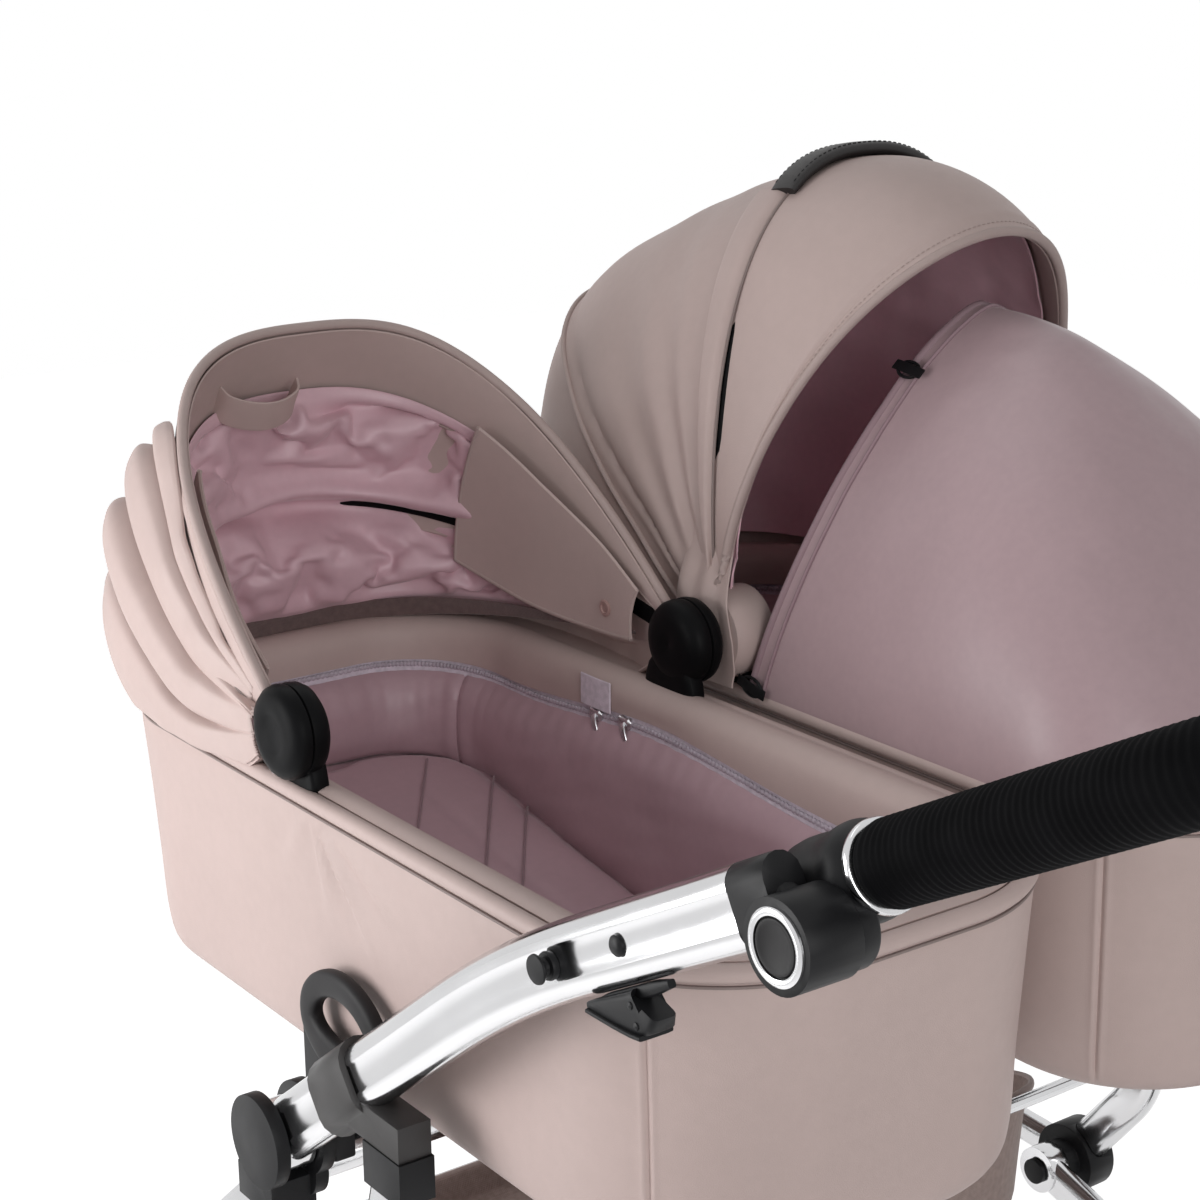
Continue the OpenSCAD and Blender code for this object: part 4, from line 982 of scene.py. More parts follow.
def folded_hood():
    """Rear cloth of the folded hood: fat rolls round the head end. Each row is a (distance out from the
    hoop's line, angle) at the crown and another at the sides, blended between; rolls flatten, sink and draw
    together towards the hubs."""
    side = "left"
    stops = np.arange(len(SIDE_FOLDS))
    i = np.linspace(0, stops[-1], 170)
    flank, crown = (np.stack([knots(i, stops, np.array(f)[:, c]) for c in (0, 1)], 1)
                    for f in (SIDE_FOLDS, CROWN_FOLDS))
    square = knots(flank[:, 1], [-10.5, 0, 12, 25, 40], [3.3, 3.0, 2.75, 2.8, 2.95])
    x, r = np.array([arch(210, 0.1865, 0.371, p, 0.050) for p in square]).transpose(1, 0, 2)
    out = _along(np.stack([np.sign(x) * (np.abs(x) / 0.1865) ** 1.8, (r / 0.371) ** 1.8], -1), 1)
    s = ease(np.abs(x), 0.07, 0.165)
    off = (crown[:, :1] * (1 - s) + flank[:, :1] * s) / 1000
    angle = crown[:, 1:] * (1 - s) + flank[:, 1:] * s
    room = (np.where(x < 0, 0.2015, 0.1980) - np.abs(x)) / np.maximum(np.abs(out[..., 0]), 0.05) / 0.047
    fit = (np.maximum(ease(r, 0.045, 0.24), 0.03) ** -4 + room ** -4) ** -0.25
    u = np.linspace(-1, 1, 210)[None]
    v = np.linspace(0, 1, 170)[:, None]
    pleat = waves(u * 3.0, v * 0.9, 74, 9, 3) * ease(r, 0.05, 0.12) * (1 - ease(r, 0.16, 0.30))
    off = np.where(off > 0, off * fit * (1 + 0.10 * waves(u * 2.0, v * 1.2, 71, 5, 3)), off)
    off = off + 0.0014 * waves(u * 1.6, v * 1.6, 72, 8, 3) * fit + 0.0016 * pleat
    drop = (knots(r, [0.05, 0.08, 0.12, 0.168, 0.217, 0.27, 0.42], [28, 26, 22, 15.4, 7, 0, 0])
            * (1 - 0.5 * ease(angle, 12, 34)))
    sway = (0.7 * waves(u * 1.5, v * 0.6, 73, 6, 2) * fit + 1.2 * pleat) * np.sin(v * np.pi)
    a = np.radians(angle - drop + sway)
    xx, rr = x + out[..., 0] * off, r + out[..., 1] * off
    grid = np.stack([xx, HUB_Y + rr * np.cos(a), np.maximum(HUB_Z + rr * np.sin(a), 0.0012)], -1)
    n = outward_normals(grid)
    obj = piece("hood_folds_left", *skin_out(place(grid, side), n, 0.0030), LEATHER, None,
                ["hood_back_left", "hood_mid_left"], "leatherette", sharp=75)
    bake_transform(obj)
    sleeve(side, 12.7)
    puffs = spline([(0.3590, 29.8), (0.350, 28.0), (0.330, 24.8), (0.317, 20.0), (0.322, 15.2),
                    (0.333, 12.4), (0.329, 11.0),
                    (0.313, 8.8), (0.299, 4.8), (0.303, 1.0), (0.322, -2.4), (0.338, -4.4)], 26)
    lines = []
    for reach, tilt in puffs:
        square = knots(tilt, [-4.5, 4.8, 12, 20, 30], [3.3, 3.1, 2.42, 3.05, 2.65])
        x, r = arch(78, 0.1795, reach, square, 0.050)
        lines.append(turned(x, r, tilt)[8:-8])
    base = np.array(lines)
    u = np.linspace(-1, 1, 62)[None]
    v = np.linspace(0, 1, 26)[:, None]
    m = outward_normals(base)
    hem = np.sin(np.pi * v) ** 0.5 * (1 - np.abs(u) ** 8)
    base = base + m * (0.004 * hem * waves(u * 1.8, v * 1.1, 81, 7, 3))[..., None]
    free = (1 - 0.92 * bell(v, 0.455, 0.055)) * (1 - 0.8 * ease(np.abs(u), 0.5, 0.8))
    grid = base + (crumple(base, 0.20, 0.026) - base) * free[..., None]
    grid = refine(grid, 4)
    # The folded hood's lining uses satin painted lighter: painted light for its shaded inside.
    lining = piece("hood_lining_left", *skin_out(place(grid, side), outward_normals(grid), 0.0014), HOOD_SATIN_PAINTED_LIGHT,
                   slot="satin", sharp=60)
    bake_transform(lining)


def crumple(grid, grow, cap, frames=26):
    """Cloth simulation on a sheet held along its hems: its threads rest longer than the grid by the share
    grow, so it buckles into folds; no point ends further than cap from where it began."""
    m, n = grid.shape[:2]
    mesh = bpy.data.meshes.new("crumple")
    mesh.from_pydata(grid.reshape(-1, 3), [], grid_quads(m, n).tolist())
    obj = bpy.data.objects.new("crumple", mesh)
    bpy.context.scene.collection.objects.link(obj)
    index = np.arange(m * n).reshape(m, n)
    hem = np.unique(np.concatenate([index[:2].ravel(), index[-2:].ravel(), index[:, :2].ravel(),
                                    index[:, -2:].ravel()]))
    pins = obj.vertex_groups.new(name="hem")
    pins.add(hem.tolist(), 1.0, "REPLACE")
    sim = obj.modifiers.new("cloth", "CLOTH")
    sim.settings.quality = 6
    sim.settings.mass = 0.12
    sim.settings.tension_stiffness = 12
    sim.settings.compression_stiffness = 12
    sim.settings.shear_stiffness = 6
    sim.settings.bending_stiffness = 0.25
    sim.settings.shrink_min = -grow
    sim.settings.vertex_group_mass = "hem"
    sim.settings.effector_weights.gravity = 0.15
    sim.collision_settings.use_self_collision = True
    sim.collision_settings.self_distance_min = 0.003
    sim.point_cache.frame_start, sim.point_cache.frame_end = 1, frames
    run_frames(frames)
    bake(obj)
    move = coords(obj.data) - grid.reshape(-1, 3)
    bpy.data.objects.remove(obj)
    far = np.linalg.norm(move, axis=1, keepdims=True)
    return (grid.reshape(-1, 3) + move * np.minimum(1, cap / np.maximum(far, 1e-9))).reshape(grid.shape)


def apron():
    """Cover over the right carrycot: arches from the foot up to a raised edge in the hood's mouth, with a
    doubled cord along that edge and three small buckles."""
    v, t = np.meshgrid(np.linspace(0, 1, 80), np.linspace(np.pi, 0, 170), indexing="ij")
    foot, edge, peak = -HALF_L, HUB_Y - 0.038, (-0.038, 0.305)
    base = foot + 0.001 + (edge - foot - 0.001) * v
    ridge = foot + 0.001 + (peak[0] - foot - 0.001) * v
    top = 0.012 + (peak[1] - 0.012) * (1 - (1 - v) ** 2.3)
    square = 2.3 - 0.85 * ease(v, 0.1, 1.0)
    cx = np.sign(np.cos(t)) * np.abs(np.cos(t)) ** (2 / square)
    sz = np.maximum(np.sin(t), 0) ** (2 / square)
    grid = np.stack([half_width(base, 0.0) * cx, base + (ridge - base) * sz, 0.0006 + top * sz], -1)
    n = outward_normals(grid)
    crease = (0.0016 * waves(cx * 1.1, v * 1.4, 91, 7, 4)
              + 0.002 * np.abs(waves(cx, v, 92, 5, 3)) * ease(v, 0.5, 1.0))
    grid = grid + n * (crease * sz * ease(v, 0.02, 0.2))[..., None]
    obj = piece("apron_cover", *skin_out(place(grid, "right"), n, 0.0035), COVER, "carrycot_right",
                ["apron_right"], "satin")
    for name, row, lift, size in (("apron_cord", -1, -0.0015, 0.0085), ("apron_seam", -4, 0.0008, 0.0034)):
        path, lean = edge_path(grid, row)
        piece(name, *sweep(place(path + n[row] * lift, "right"), oval(size, size * 0.9, 12), lean),
              CORD, "carrycot_right", slot="satin")
    parts = []
    for col in (58, 4, 145):
        at, ahead = grid[-1, col], _along(grid[-1, col + 1] - grid[-1, col - 1], 1)
        up, side_way = n[-1, col], np.cross(n[-1, col], ahead)
        ring = np.linspace(0, 2 * np.pi, 20, endpoint=False)[:, None]
        loop = at + up * 0.004 + ahead * 0.007 * np.cos(ring) + side_way * (0.012 * np.sin(ring) - 0.004)
        parts.append(sweep(place(loop, "right"), oval(0.0028, 0.0028, 8), np.broadcast_to(up, loop.shape),
                           closed=True))
        strap = (at + up * np.array([[0.0055], [0.0062], [0.0055]])
                 + side_way * np.array([[0.012], [-0.004], [-0.022]]))
        parts.append(sweep(place(spline(strap, 8), "right"), oval(0.009, 0.0016, 12, 4),
                           np.broadcast_to(up, (8, 3))))
    piece("apron_buckles", *gather(*parts), PLASTIC, "carrycot_right", slot="black_plastic")


def hub_set(side):
    """Hood hubs: turned drums with big rounded edges, the fixed half on a screwed foot and the moving half
    outside, with the flat steel hoop between the two moving halves."""
    fixed, moving, screws = [], [], []
    for m in (-1, 1):
        inner = [(0.1630, 0.0), (0.1610, 0.008), (0.1612, 0.020), (0.1630, 0.0265), (0.1665, 0.0318),
                 (0.171, 0.0345), (0.1770, 0.0352), (0.1800, 0.0346), (0.1806, 0.0335), (0.1806, 0.0)]
        outer = [(0.1812, 0.0), (0.1812, 0.0336), (0.1820, 0.0350), (0.1860, 0.0354), (0.1905, 0.0342),
                 (0.1945, 0.0305), (0.1965, 0.0250), (0.1970, 0.0160), (0.1958, 0.0140), (0.1960, 0.0)]
        for target, profile in ((fixed, inner), (moving, outer)):
            target.append(lathe(np.array(profile) * np.array([m, 1]), place(HUB, side), "x", 64))
        z = np.array([0.0005, 0.002, 0.006, 0.014, 0.022, 0.027])
        sizes = np.array([0.97, 1.0, 1.0, 0.94, 0.84, 0.7])
        path = np.stack([np.full(6, m * 0.1722), np.full(6, HUB_Y + 0.004), z], 1)
        foot = oval(0.0185, 0.064, 28, 4.5)[None] * np.stack([0 * sizes + 1, sizes], 1)[:, None]
        fixed.append(sweep(place(path, side), foot, (0, 1, 0)))
        screw = [(0.1810, 0.0), (0.1822, 0.0), (0.1822, 0.0016), (0.1832, 0.0022), (0.1830, 0.0038),
                 (0.1818, 0.0044), (0.1810, 0.0044)]
        screws.append(lathe(np.array(screw) * np.array([m, 1]), place((0, HUB_Y + 0.026, 0.007), side), "x",
                            20))
    piece("hub_fixed_" + side, *gather(*fixed), HUBS, "carrycot_" + side, ["hinge_hubs_" + side],
          "black_plastic")
    piece("hub_screws_" + side, *gather(*screws), STEEL, "carrycot_" + side, slot="steel")
    angle = {"left": 12.0, "right": 82.0}[side]
    x, r = arch(140, 0.1825, 0.3585, 2.4, 0.030)
    lean = hoop_lean(x, r, angle)
    bow = sweep(place(turned(x, r, angle), side), oval(0.0046, 0.0145, 14, 5), lean)
    piece("hub_moving_" + side, *gather(*moving, bow), HUBS, "hood_" + side, ["hood_bow_" + side],
          "black_plastic")
    if side == "right":
        x, r = arch(140, 0.1775, 0.3535, 2.4, 0.060)
        strap = sweep(place(turned(x, r, angle), side), oval(0.0024, 0.024, 14, 5), lean)
        piece("bow_strap_" + side, *strap, LEATHER, "hood_" + side, slot="leatherette")


def carry_handle(side):
    """Black leather grip on the hoop's crown: an oval section that thins towards its ends, with stitches
    along both edges."""
    angle = {"left": 12.0, "right": 82.0}[side]
    x, r = arch(400, 0.1868 + 0.007, 0.3698 + 0.0072, 2.28)
    keep = np.abs(x) < 0.084
    x, r = x[keep], r[keep]
    q = np.abs(x) / 0.084
    r = r - 0.004 * q ** 5
    lean = hoop_lean(x, r, angle)
    path = turned(x, r, angle)
    size = np.stack([1 - 0.25 * q ** 6, 1 - 0.10 * q ** 4], 1)
    section = oval(0.0125, 0.033, 26, 2.6)[None] * size[:, None]
    body = "hood_" + side
    piece("carry_grip_" + side, *sweep(place(path, side), section, lean), HIDE, body,
          ["carry_handle_" + side], "soft_black")
    rim = _along(turned(x, r, angle) - turned(x, 0 * r, angle), 1)
    for name, way in (("a", 1), ("b", -1)):
        row = path + rim * 0.0055 + lean * way * 0.0115
        piece("grip_stitches_%s_%s" % (name, side), *stitches(place(row, side), rim, 0.0056, 0.0036,
                0.0011), GREYER, body,
              slot="soft_black")


def release_loops(side):
    """Thick moulded loops beside a carrycot: a rounded section, fuller at the bottom, carried round an
    oval."""
    parts = []
    ring = np.linspace(0, 2 * np.pi, 72, endpoint=False)
    y = 0.048 * np.cos(ring) * (1 - 0.10 * np.sin(ring))
    z = 0.002 + np.where(np.sin(ring) > 0, 0.0305, 0.0300) * np.sin(ring)
    size = np.stack([0.0205 + 0.008 * np.maximum(0, -np.sin(ring)) ** 2, np.full(72, 0.0125)], 1)
    for m in (-1, 1):
        path = np.stack([np.full(72, m * (0.1836 + 0.0064)), -0.020 + y, -0.160 + z], 1)
        section = oval(1, 1, 20, 3.2)[None] * size[:, None]
        parts.append(sweep(place(path, side), section, (1, 0, 0), closed=True))
    piece("loop_" + side, *gather(*parts), GREYER, "release_" + side, ["release_loops_" + side],
          "black_plastic")


# Frame

ARM_X, ARM_IN, ARM_OUT = 0.418, 0.405, 0.431
FOLD, PIVOT, BEND = np.array([0.030, 0.545]), np.array([-0.553, 0.909]), np.array([-0.280, 0.786])
ARM_AIM = PIVOT + np.array([0, 0.026])
ARM_TOP = ARM_AIM + (BEND - ARM_AIM) / np.linalg.norm(BEND - ARM_AIM) * 0.054
ARM_LINE = (ARM_AIM - BEND) / np.linalg.norm(ARM_AIM - BEND)
HANDLE_X, LIMB, TURN = 0.379, 0.215, 0.110


def side_path(points, x):
    """A side view path (length, height) set at a distance from the middle, in the pram's frame."""
    points = np.asarray(points, float)
    return np.stack([np.full(len(points), x), points[:, 0] + COT_Y, points[:, 1]], 1)


def bent(a, b, c, radius, count=40):
    """Two straights joined by an arc of a radius near b, in the side view."""
    d1, d2 = (b - a) / np.linalg.norm(b - a), (c - b) / np.linalg.norm(c - b)
    turn = math.atan2(d1[0] * d2[1] - d1[1] * d2[0], d1 @ d2)
    cut = radius * math.tan(abs(turn) / 2)
    start = b - d1 * cut
    side = np.sign(turn) * np.array([-d1[1], d1[0]])
    g = np.linspace(0, abs(turn), count)[:, None]
    arc = start + radius * (np.sin(g) * d1 + (1 - np.cos(g)) * side)
    return np.concatenate([a + (start - a) * np.linspace(0, 1, 14)[:-1, None], arc,
                           arc[-1] + (c - arc[-1]) * np.linspace(0, 1, 14)[1:, None]])


def flat_tube(width, height, recess):
    """Section of a flat oval tube: half circles on straight sides, whose flat faces lie in a shallow
    recess."""
    a = np.linspace(0, np.pi, 17)
    r, line = width / 2, (height - width) / 2
    top = np.stack([r * np.cos(a), line + r * np.sin(a)], 1)
    steps = np.array([line - 0.0004, line - 0.0020, 0, 0.0020 - line, 0.0004 - line])
    dent = np.array([0, recess, recess, recess, 0])
    down = np.stack([-r + dent, steps], 1)
    low = np.stack([r * np.cos(a + np.pi), -line + r * np.sin(a + np.pi)], 1)
    rise = np.stack([r - dent[::-1], steps[::-1]], 1)
    return np.concatenate([top, down, low, rise])


def arms():
    """Push arms: the flat tube's section carried along two straights and a wide bend, with a turned eye at
    the fold hub."""
    path = bent(ARM_TOP, BEND, FOLD, 1.100)
    section = flat_tube(0.026, 0.048, 0.0010)
    tube = sweep(side_path(path, ARM_X), section, (0, -0.5, 0.85))
    eye = lathe([(-0.0128, 0.0062), (-0.0128, 0.0262), (-0.0118, 0.0276), (0.0118, 0.0276),
                 (0.0128, 0.0262), (0.0128, 0.0062)],
                (ARM_X, FOLD[0] + COT_Y, FOLD[1]), "x", 64)
    part = gather(tube, eye)
    piece("arm_tube_right", *part, CHROME, "push_frame", ["arm_right"], "chrome_tube")
    piece("arm_tube_left", *mirrored(part), CHROME, "push_frame", ["arm_left"], "chrome_tube")


def on_arm(distance, across, below):
    """A place on the arm's upper straight: distance from the bend towards the handle, out from the arm's
    middle, and below its axis."""
    u = (ARM_TOP - BEND) / np.linalg.norm(ARM_TOP - BEND)
    q = BEND + u * distance + np.array([u[1], -u[0]]) * np.sign(u[0]) * below
    return np.array([ARM_X + across, q[0] + COT_Y, q[1]])


def arm_details():
    """Bobbin studs and rivets turned about the cross axis, and wedge-shaped triggers with a lip along the
    slope."""
    knob = [(0.0122, 0.0), (0.0122, 0.0085), (0.0150, 0.0090), (0.0166, 0.0084), (0.0172, 0.0058),
            (0.0205, 0.0052),
            (0.0212, 0.0082), (0.0226, 0.0094), (0.0240, 0.0090), (0.0246, 0.0066), (0.0248, 0.0)]
    dome = [(0.0118, 0.0), (0.0118, 0.0066), (0.0134, 0.0064), (0.0146, 0.0050), (0.0152, 0.0026),
            (0.0153, 0.0)]
    parts = [lathe(knob, on_arm(0.067, 0, 0), "x", 40), lathe(dome, on_arm(0.141, 0, 0), "x", 32)]
    rail = np.array([on_arm(d, 0, 0.0285) for d in np.linspace(0.088, 0.164, 6)])
    size = np.array([0.6, 1, 1, 1, 1, 0.6])
    parts.append(sweep(rail, oval(0.0085, 0.0092, 16, 4)[None] * size[:, None, None], (1, 0, 0)))
    part = gather(*parts)
    piece("arm_studs", *gather(part, mirrored(part)), PLASTIC, "push_frame", ["arm_fittings"],
          "black_plastic")
    stations = np.array([0.0865, 0.088, 0.098, 0.111, 0.125, 0.1340, 0.1385, 0.140])
    deep = np.array([0.0035, 0.0050, 0.0105, 0.0175, 0.0245, 0.0280, 0.0275, 0.0245])
    path = [on_arm(d, 0, 0.0255 + h / 2) for d, h in zip(stations, deep)]
    sections = [oval(0.0200 if 0.087 < d < 0.1395 else 0.0170, h, 28, 6) for d, h in zip(stations, deep)]
    edge = np.array([on_arm(d, 0, 0.0255 + h) for d, h in zip(stations[1:6], deep[1:6])])
    lip = turn_section(edge, np.array([oval(0.0245, 0.0032, 24, 5)] * 5))
    screw = [(0.0096, 0.0), (0.0096, 0.0025), (0.0106, 0.0023), (0.0110, 0.0012), (0.0111, 0.0)]
    screws = [lathe(screw, on_arm(0.132, 0, below), "x", 16) for below in (0.034, 0.046)]
    block = gather(turn_section(path, sections), lip, *screws)
    piece("trigger_block_right", *block, PLASTIC, "trigger_right", ["trigger_right"], "black_plastic")
    piece("trigger_block_left", *mirrored(block), PLASTIC, "trigger_left", ["trigger_left"],
          "black_plastic")


def turn_section(path, sections):
    """A sweep whose sections stand across the arm: their first axis lies along X, their second square to
    the path."""
    path = np.asarray(path)
    tangent = _along(np.gradient(path, axis=0), 1)
    return sweep(path, np.asarray(sections), np.cross(tangent, np.array([-1.0, 0, 0])))


def handle_path(start, count):
    """The handle's U at even steps from a distance along one limb to the same on the other: straight limbs
    in the arms' line, quarter circles and a crossbar."""
    half = HANDLE_X - TURN
    g = np.linspace(np.pi, np.pi / 2, 60)
    side = np.concatenate([[(-HANDLE_X, start)], np.stack([-half + TURN * np.cos(g),
                                                           LIMB + TURN * np.sin(g)], 1)])
    line = np.concatenate([side, side[::-1] * np.array([-1, 1])])
    s = np.concatenate([[0], np.cumsum(np.linalg.norm(np.diff(line, axis=0), axis=1))])
    at = np.linspace(0, s[-1], count)
    return on_limb(np.interp(at, s, line[:, 0]), np.interp(at, s, line[:, 1])), at


def on_limb(x, t):
    """Points of the handle's plane: across the pram, and along the arms' line from above the pivots."""
    x, t = np.broadcast_arrays(x, t)
    return np.stack([x, ARM_AIM[0] + COT_Y + ARM_LINE[0] * t, ARM_AIM[1] + ARM_LINE[1] * t], -1)


def handle():
    """Handle: a ribbed grip carried round a U, a bright ring at each end, elbows that close in a dome over
    the hinges, turned knuckles under them, and the hinge's ring and button."""
    up = np.array([0, -ARM_LINE[1], ARM_LINE[0]]) * -1
    path, s = handle_path(0.0152, 1240)
    end = np.minimum(s, s[-1] - s)
    radius = 0.0237 + 0.0003 * np.sin(s * 2 * np.pi / 0.0052) - 0.0016 * (1 - ease(end, 0, 0.004))
    piece("handle_padding", *sweep(path, oval(2, 2, 40)[None] * radius[:, None, None], up), GRIP, "handle",
          ["handle_grip", "handle_core"], "soft_black")
    band = on_limb(HANDLE_X, np.array([0.0091, 0.0097, 0.0108, 0.0136, 0.0147, 0.0152]))
    size = np.array([0.0240, 0.0251, 0.0256, 0.0256, 0.0251, 0.0240])
    band = sweep(band, oval(2, 2, 48)[None] * size[:, None, None], up)
    piece("grip_collars", *gather(band, mirrored(band)), CHROME, "handle", ["grip_rings"], "chrome_tube")
    t = np.concatenate([np.linspace(-0.0618, -0.036, 16), np.linspace(-0.032, 0.0088, 12)])
    size = knots(t, [-0.0618, -0.0610, -0.0575, -0.051, -0.042, -0.020, 0.0066, 0.0088],
                 [0.0060, 0.0115, 0.0182, 0.0229, 0.0249, 0.0253, 0.0252, 0.0238])
    pv = np.array([ARM_IN, PIVOT[0] + COT_Y, PIVOT[1]])
    inner = [(-0.0140, 0.0071), (-0.0140, 0.0218), (-0.0134, 0.0232), (-0.0118, 0.0240), (-0.0018, 0.0240),
             (-0.0005, 0.0228), (-0.0003, 0.0071)]
    elbow = gather(sweep(on_limb(HANDLE_X, t), oval(2, 2, 48)[None] * size[:, None, None], up),
                   lathe(inner, pv, "x", 64))
    piece("handle_barrels", *gather(elbow, mirrored(elbow)), PLASTIC, "handle", ["handle_elbows"],
          "black_plastic")
    ring = [(0.0096, 0.0163), (0.0116, 0.0166), (0.0124, 0.0180), (0.0123, 0.0198), (0.0112, 0.0212),
            (0.0092, 0.0215), (0.0092, 0.0163)]
    bright = lathe(ring, (ARM_OUT, PIVOT[0] + COT_Y, PIVOT[1]), "x", 96)
    piece("hinge_rings", *gather(bright, mirrored(bright)), CHROME, "push_frame", slot="chrome_tube")
    cap = [(0.0068, 0.0), (0.0068, 0.0157), (0.0104, 0.0158), (0.0114, 0.0151), (0.0117, 0.0132),
           (0.0111, 0.0122), (0.0112, 0.0)]
    for name in SIDES:
        disc = lathe(cap, (ARM_OUT, PIVOT[0] + COT_Y, PIVOT[1]), "x", 80)
        piece("hinge_button_" + name, *(disc if name == "right" else mirrored(disc)), GREYER,
              "button_" + name, ["button_" + name], "button_plastic")


def softened(name, width, look, body, segments=2):
    """A copy of a CAD node, merged, with its edges rounded over by a bevel."""
    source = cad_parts[name]
    mesh = source.data.copy()
    mesh.name = name + "_soft"
    work = bmesh.new()
    work.from_mesh(mesh)
    bmesh.ops.remove_doubles(work, verts=work.verts, dist=2e-5)
    bmesh.ops.dissolve_limit(work, angle_limit=math.radians(2), verts=work.verts, edges=work.edges)
    work.to_mesh(mesh)
    work.free()
    mesh.materials.clear()
    mesh.materials.append(look)
    mesh.polygons.foreach_set("use_smooth", np.ones(len(mesh.polygons), bool))
    obj = bpy.data.objects.new(name + "_soft", mesh)
    bpy.context.scene.collection.objects.link(obj)
    round_over = obj.modifiers.new("rounded", "BEVEL")
    round_over.width = width
    round_over.segments = segments
    round_over.limit_method = "ANGLE"
    round_over.angle_limit = math.radians(32)
    round_over.harden_normals = True
    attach(obj, body)
    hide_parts(name)
    return obj


def wheels():
    """Tyres turned from a round-shouldered section, with cross grooves pressed into the tread."""
    for side in SIDES:
        for kind, radius in (("rear", 0.150), ("front", 0.115)):
            node = "%s_tyre_%s" % (kind, side)
            low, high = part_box(node)
            centre = (np.array(low) + np.array(high)) / 2
            section = spline(np.array([(-0.0118, radius - 0.0266), (-0.0170, radius - 0.0220),
                                       (-0.0200, radius - 0.0135),
                                       (-0.0172, radius - 0.0052), (-0.0095, radius - 0.0006), (0, radius),
                                       (0.0095, radius - 0.0006),
                                       (0.0172, radius - 0.0052), (0.0200, radius - 0.0135),
                                       (0.0170, radius - 0.0220), (0.0118, radius - 0.0266)]), 44)
            section = np.concatenate([section, [(0.006, radius - 0.0268), (-0.006, radius - 0.0268)]])
            count = 288
            t = np.linspace(0, 2 * np.pi, count, endpoint=False)[:, None]
            x, r = section[None, :, 0], section[None, :, 1]
            tread = ease(r, radius - 0.0060, radius - 0.0030)
            block = (ease(np.sin(t * 48 + x * 130), 0.55, 0.85)
                     + ease(-np.abs(np.abs(x) - 0.0065), -0.0012, -0.0004))
            r = r - 0.0016 * tread * np.minimum(block, 1)
            points = np.stack(np.broadcast_arrays(x + 0 * r, r * np.cos(t), r * np.sin(t)), -1) + centre
            points = points.reshape(-1, 3)
            quads = outward(points - centre, grid_quads(count, len(section), wrap_rows=True,
                                                        wrap_columns=True))
            piece("%s_tread_%s" % (kind, side), points, quads, TYRE, "%s_wheel_%s" % (kind, side), [node],
                  "tyre", sharp=55)


def basket():
    """Shopping basket: a shell lofted between its four hems, with rounded corners; its walls and floor sag
    between them."""
    half, y0, y1 = 0.290, -0.0897 + COT_Y, 0.2857 + COT_Y
    low, rear, front = 0.248, 0.418, 0.292
    t = np.linspace(0, 2 * np.pi, 160, endpoint=False)
    c, s = np.cos(t), np.sin(t)
    power = 7.0
    x = half * np.sign(c) * np.abs(c) ** (2 / power)
    along = np.sign(s) * np.abs(s) ** (2 / power)
    hem = rear + (front - rear) * (along * 0.5 + 0.5)
    rows = []
    for k in np.linspace(0, 1, 24):
        draw = 1 - 0.05 * k - 0.10 * ease(k, 0.6, 1.0)
        sag = 0.010 * np.sin(np.pi * k) * (1 - np.abs(along) ** 6 * np.abs(x / half) ** 6)
        z = hem + (low + 0.006 - hem) * ease(k * 0.5 + 0.25, 0.25, 0.75)
        rows.append(np.stack([x * draw - sag * 0.3 * np.sign(x),
                              (y0 + y1) / 2 + (y1 - y0) / 2 * along * draw, z], 1))
    for k in (0.85, 0.6, 0.3, 0.0):
        last = rows[23]
        middle = np.array([0, (y0 + y1) / 2, low + 0.001])
        rows.append(middle + (last - middle) * np.array([k, k, k]))
    grid = np.array(rows)
    points, quads = ring_skin(grid, 0.003)
    obj = piece("basket_bag", points, quads, BAG, "chassis", ["basket"], "basket_cloth", merge=True)
    hem_path = grid[0]
    piece("basket_hem", *sweep(hem_path, oval(0.006, 0.009, 12), UP, closed=True), PIPING, "chassis",
          slot="basket_cloth")
    return obj


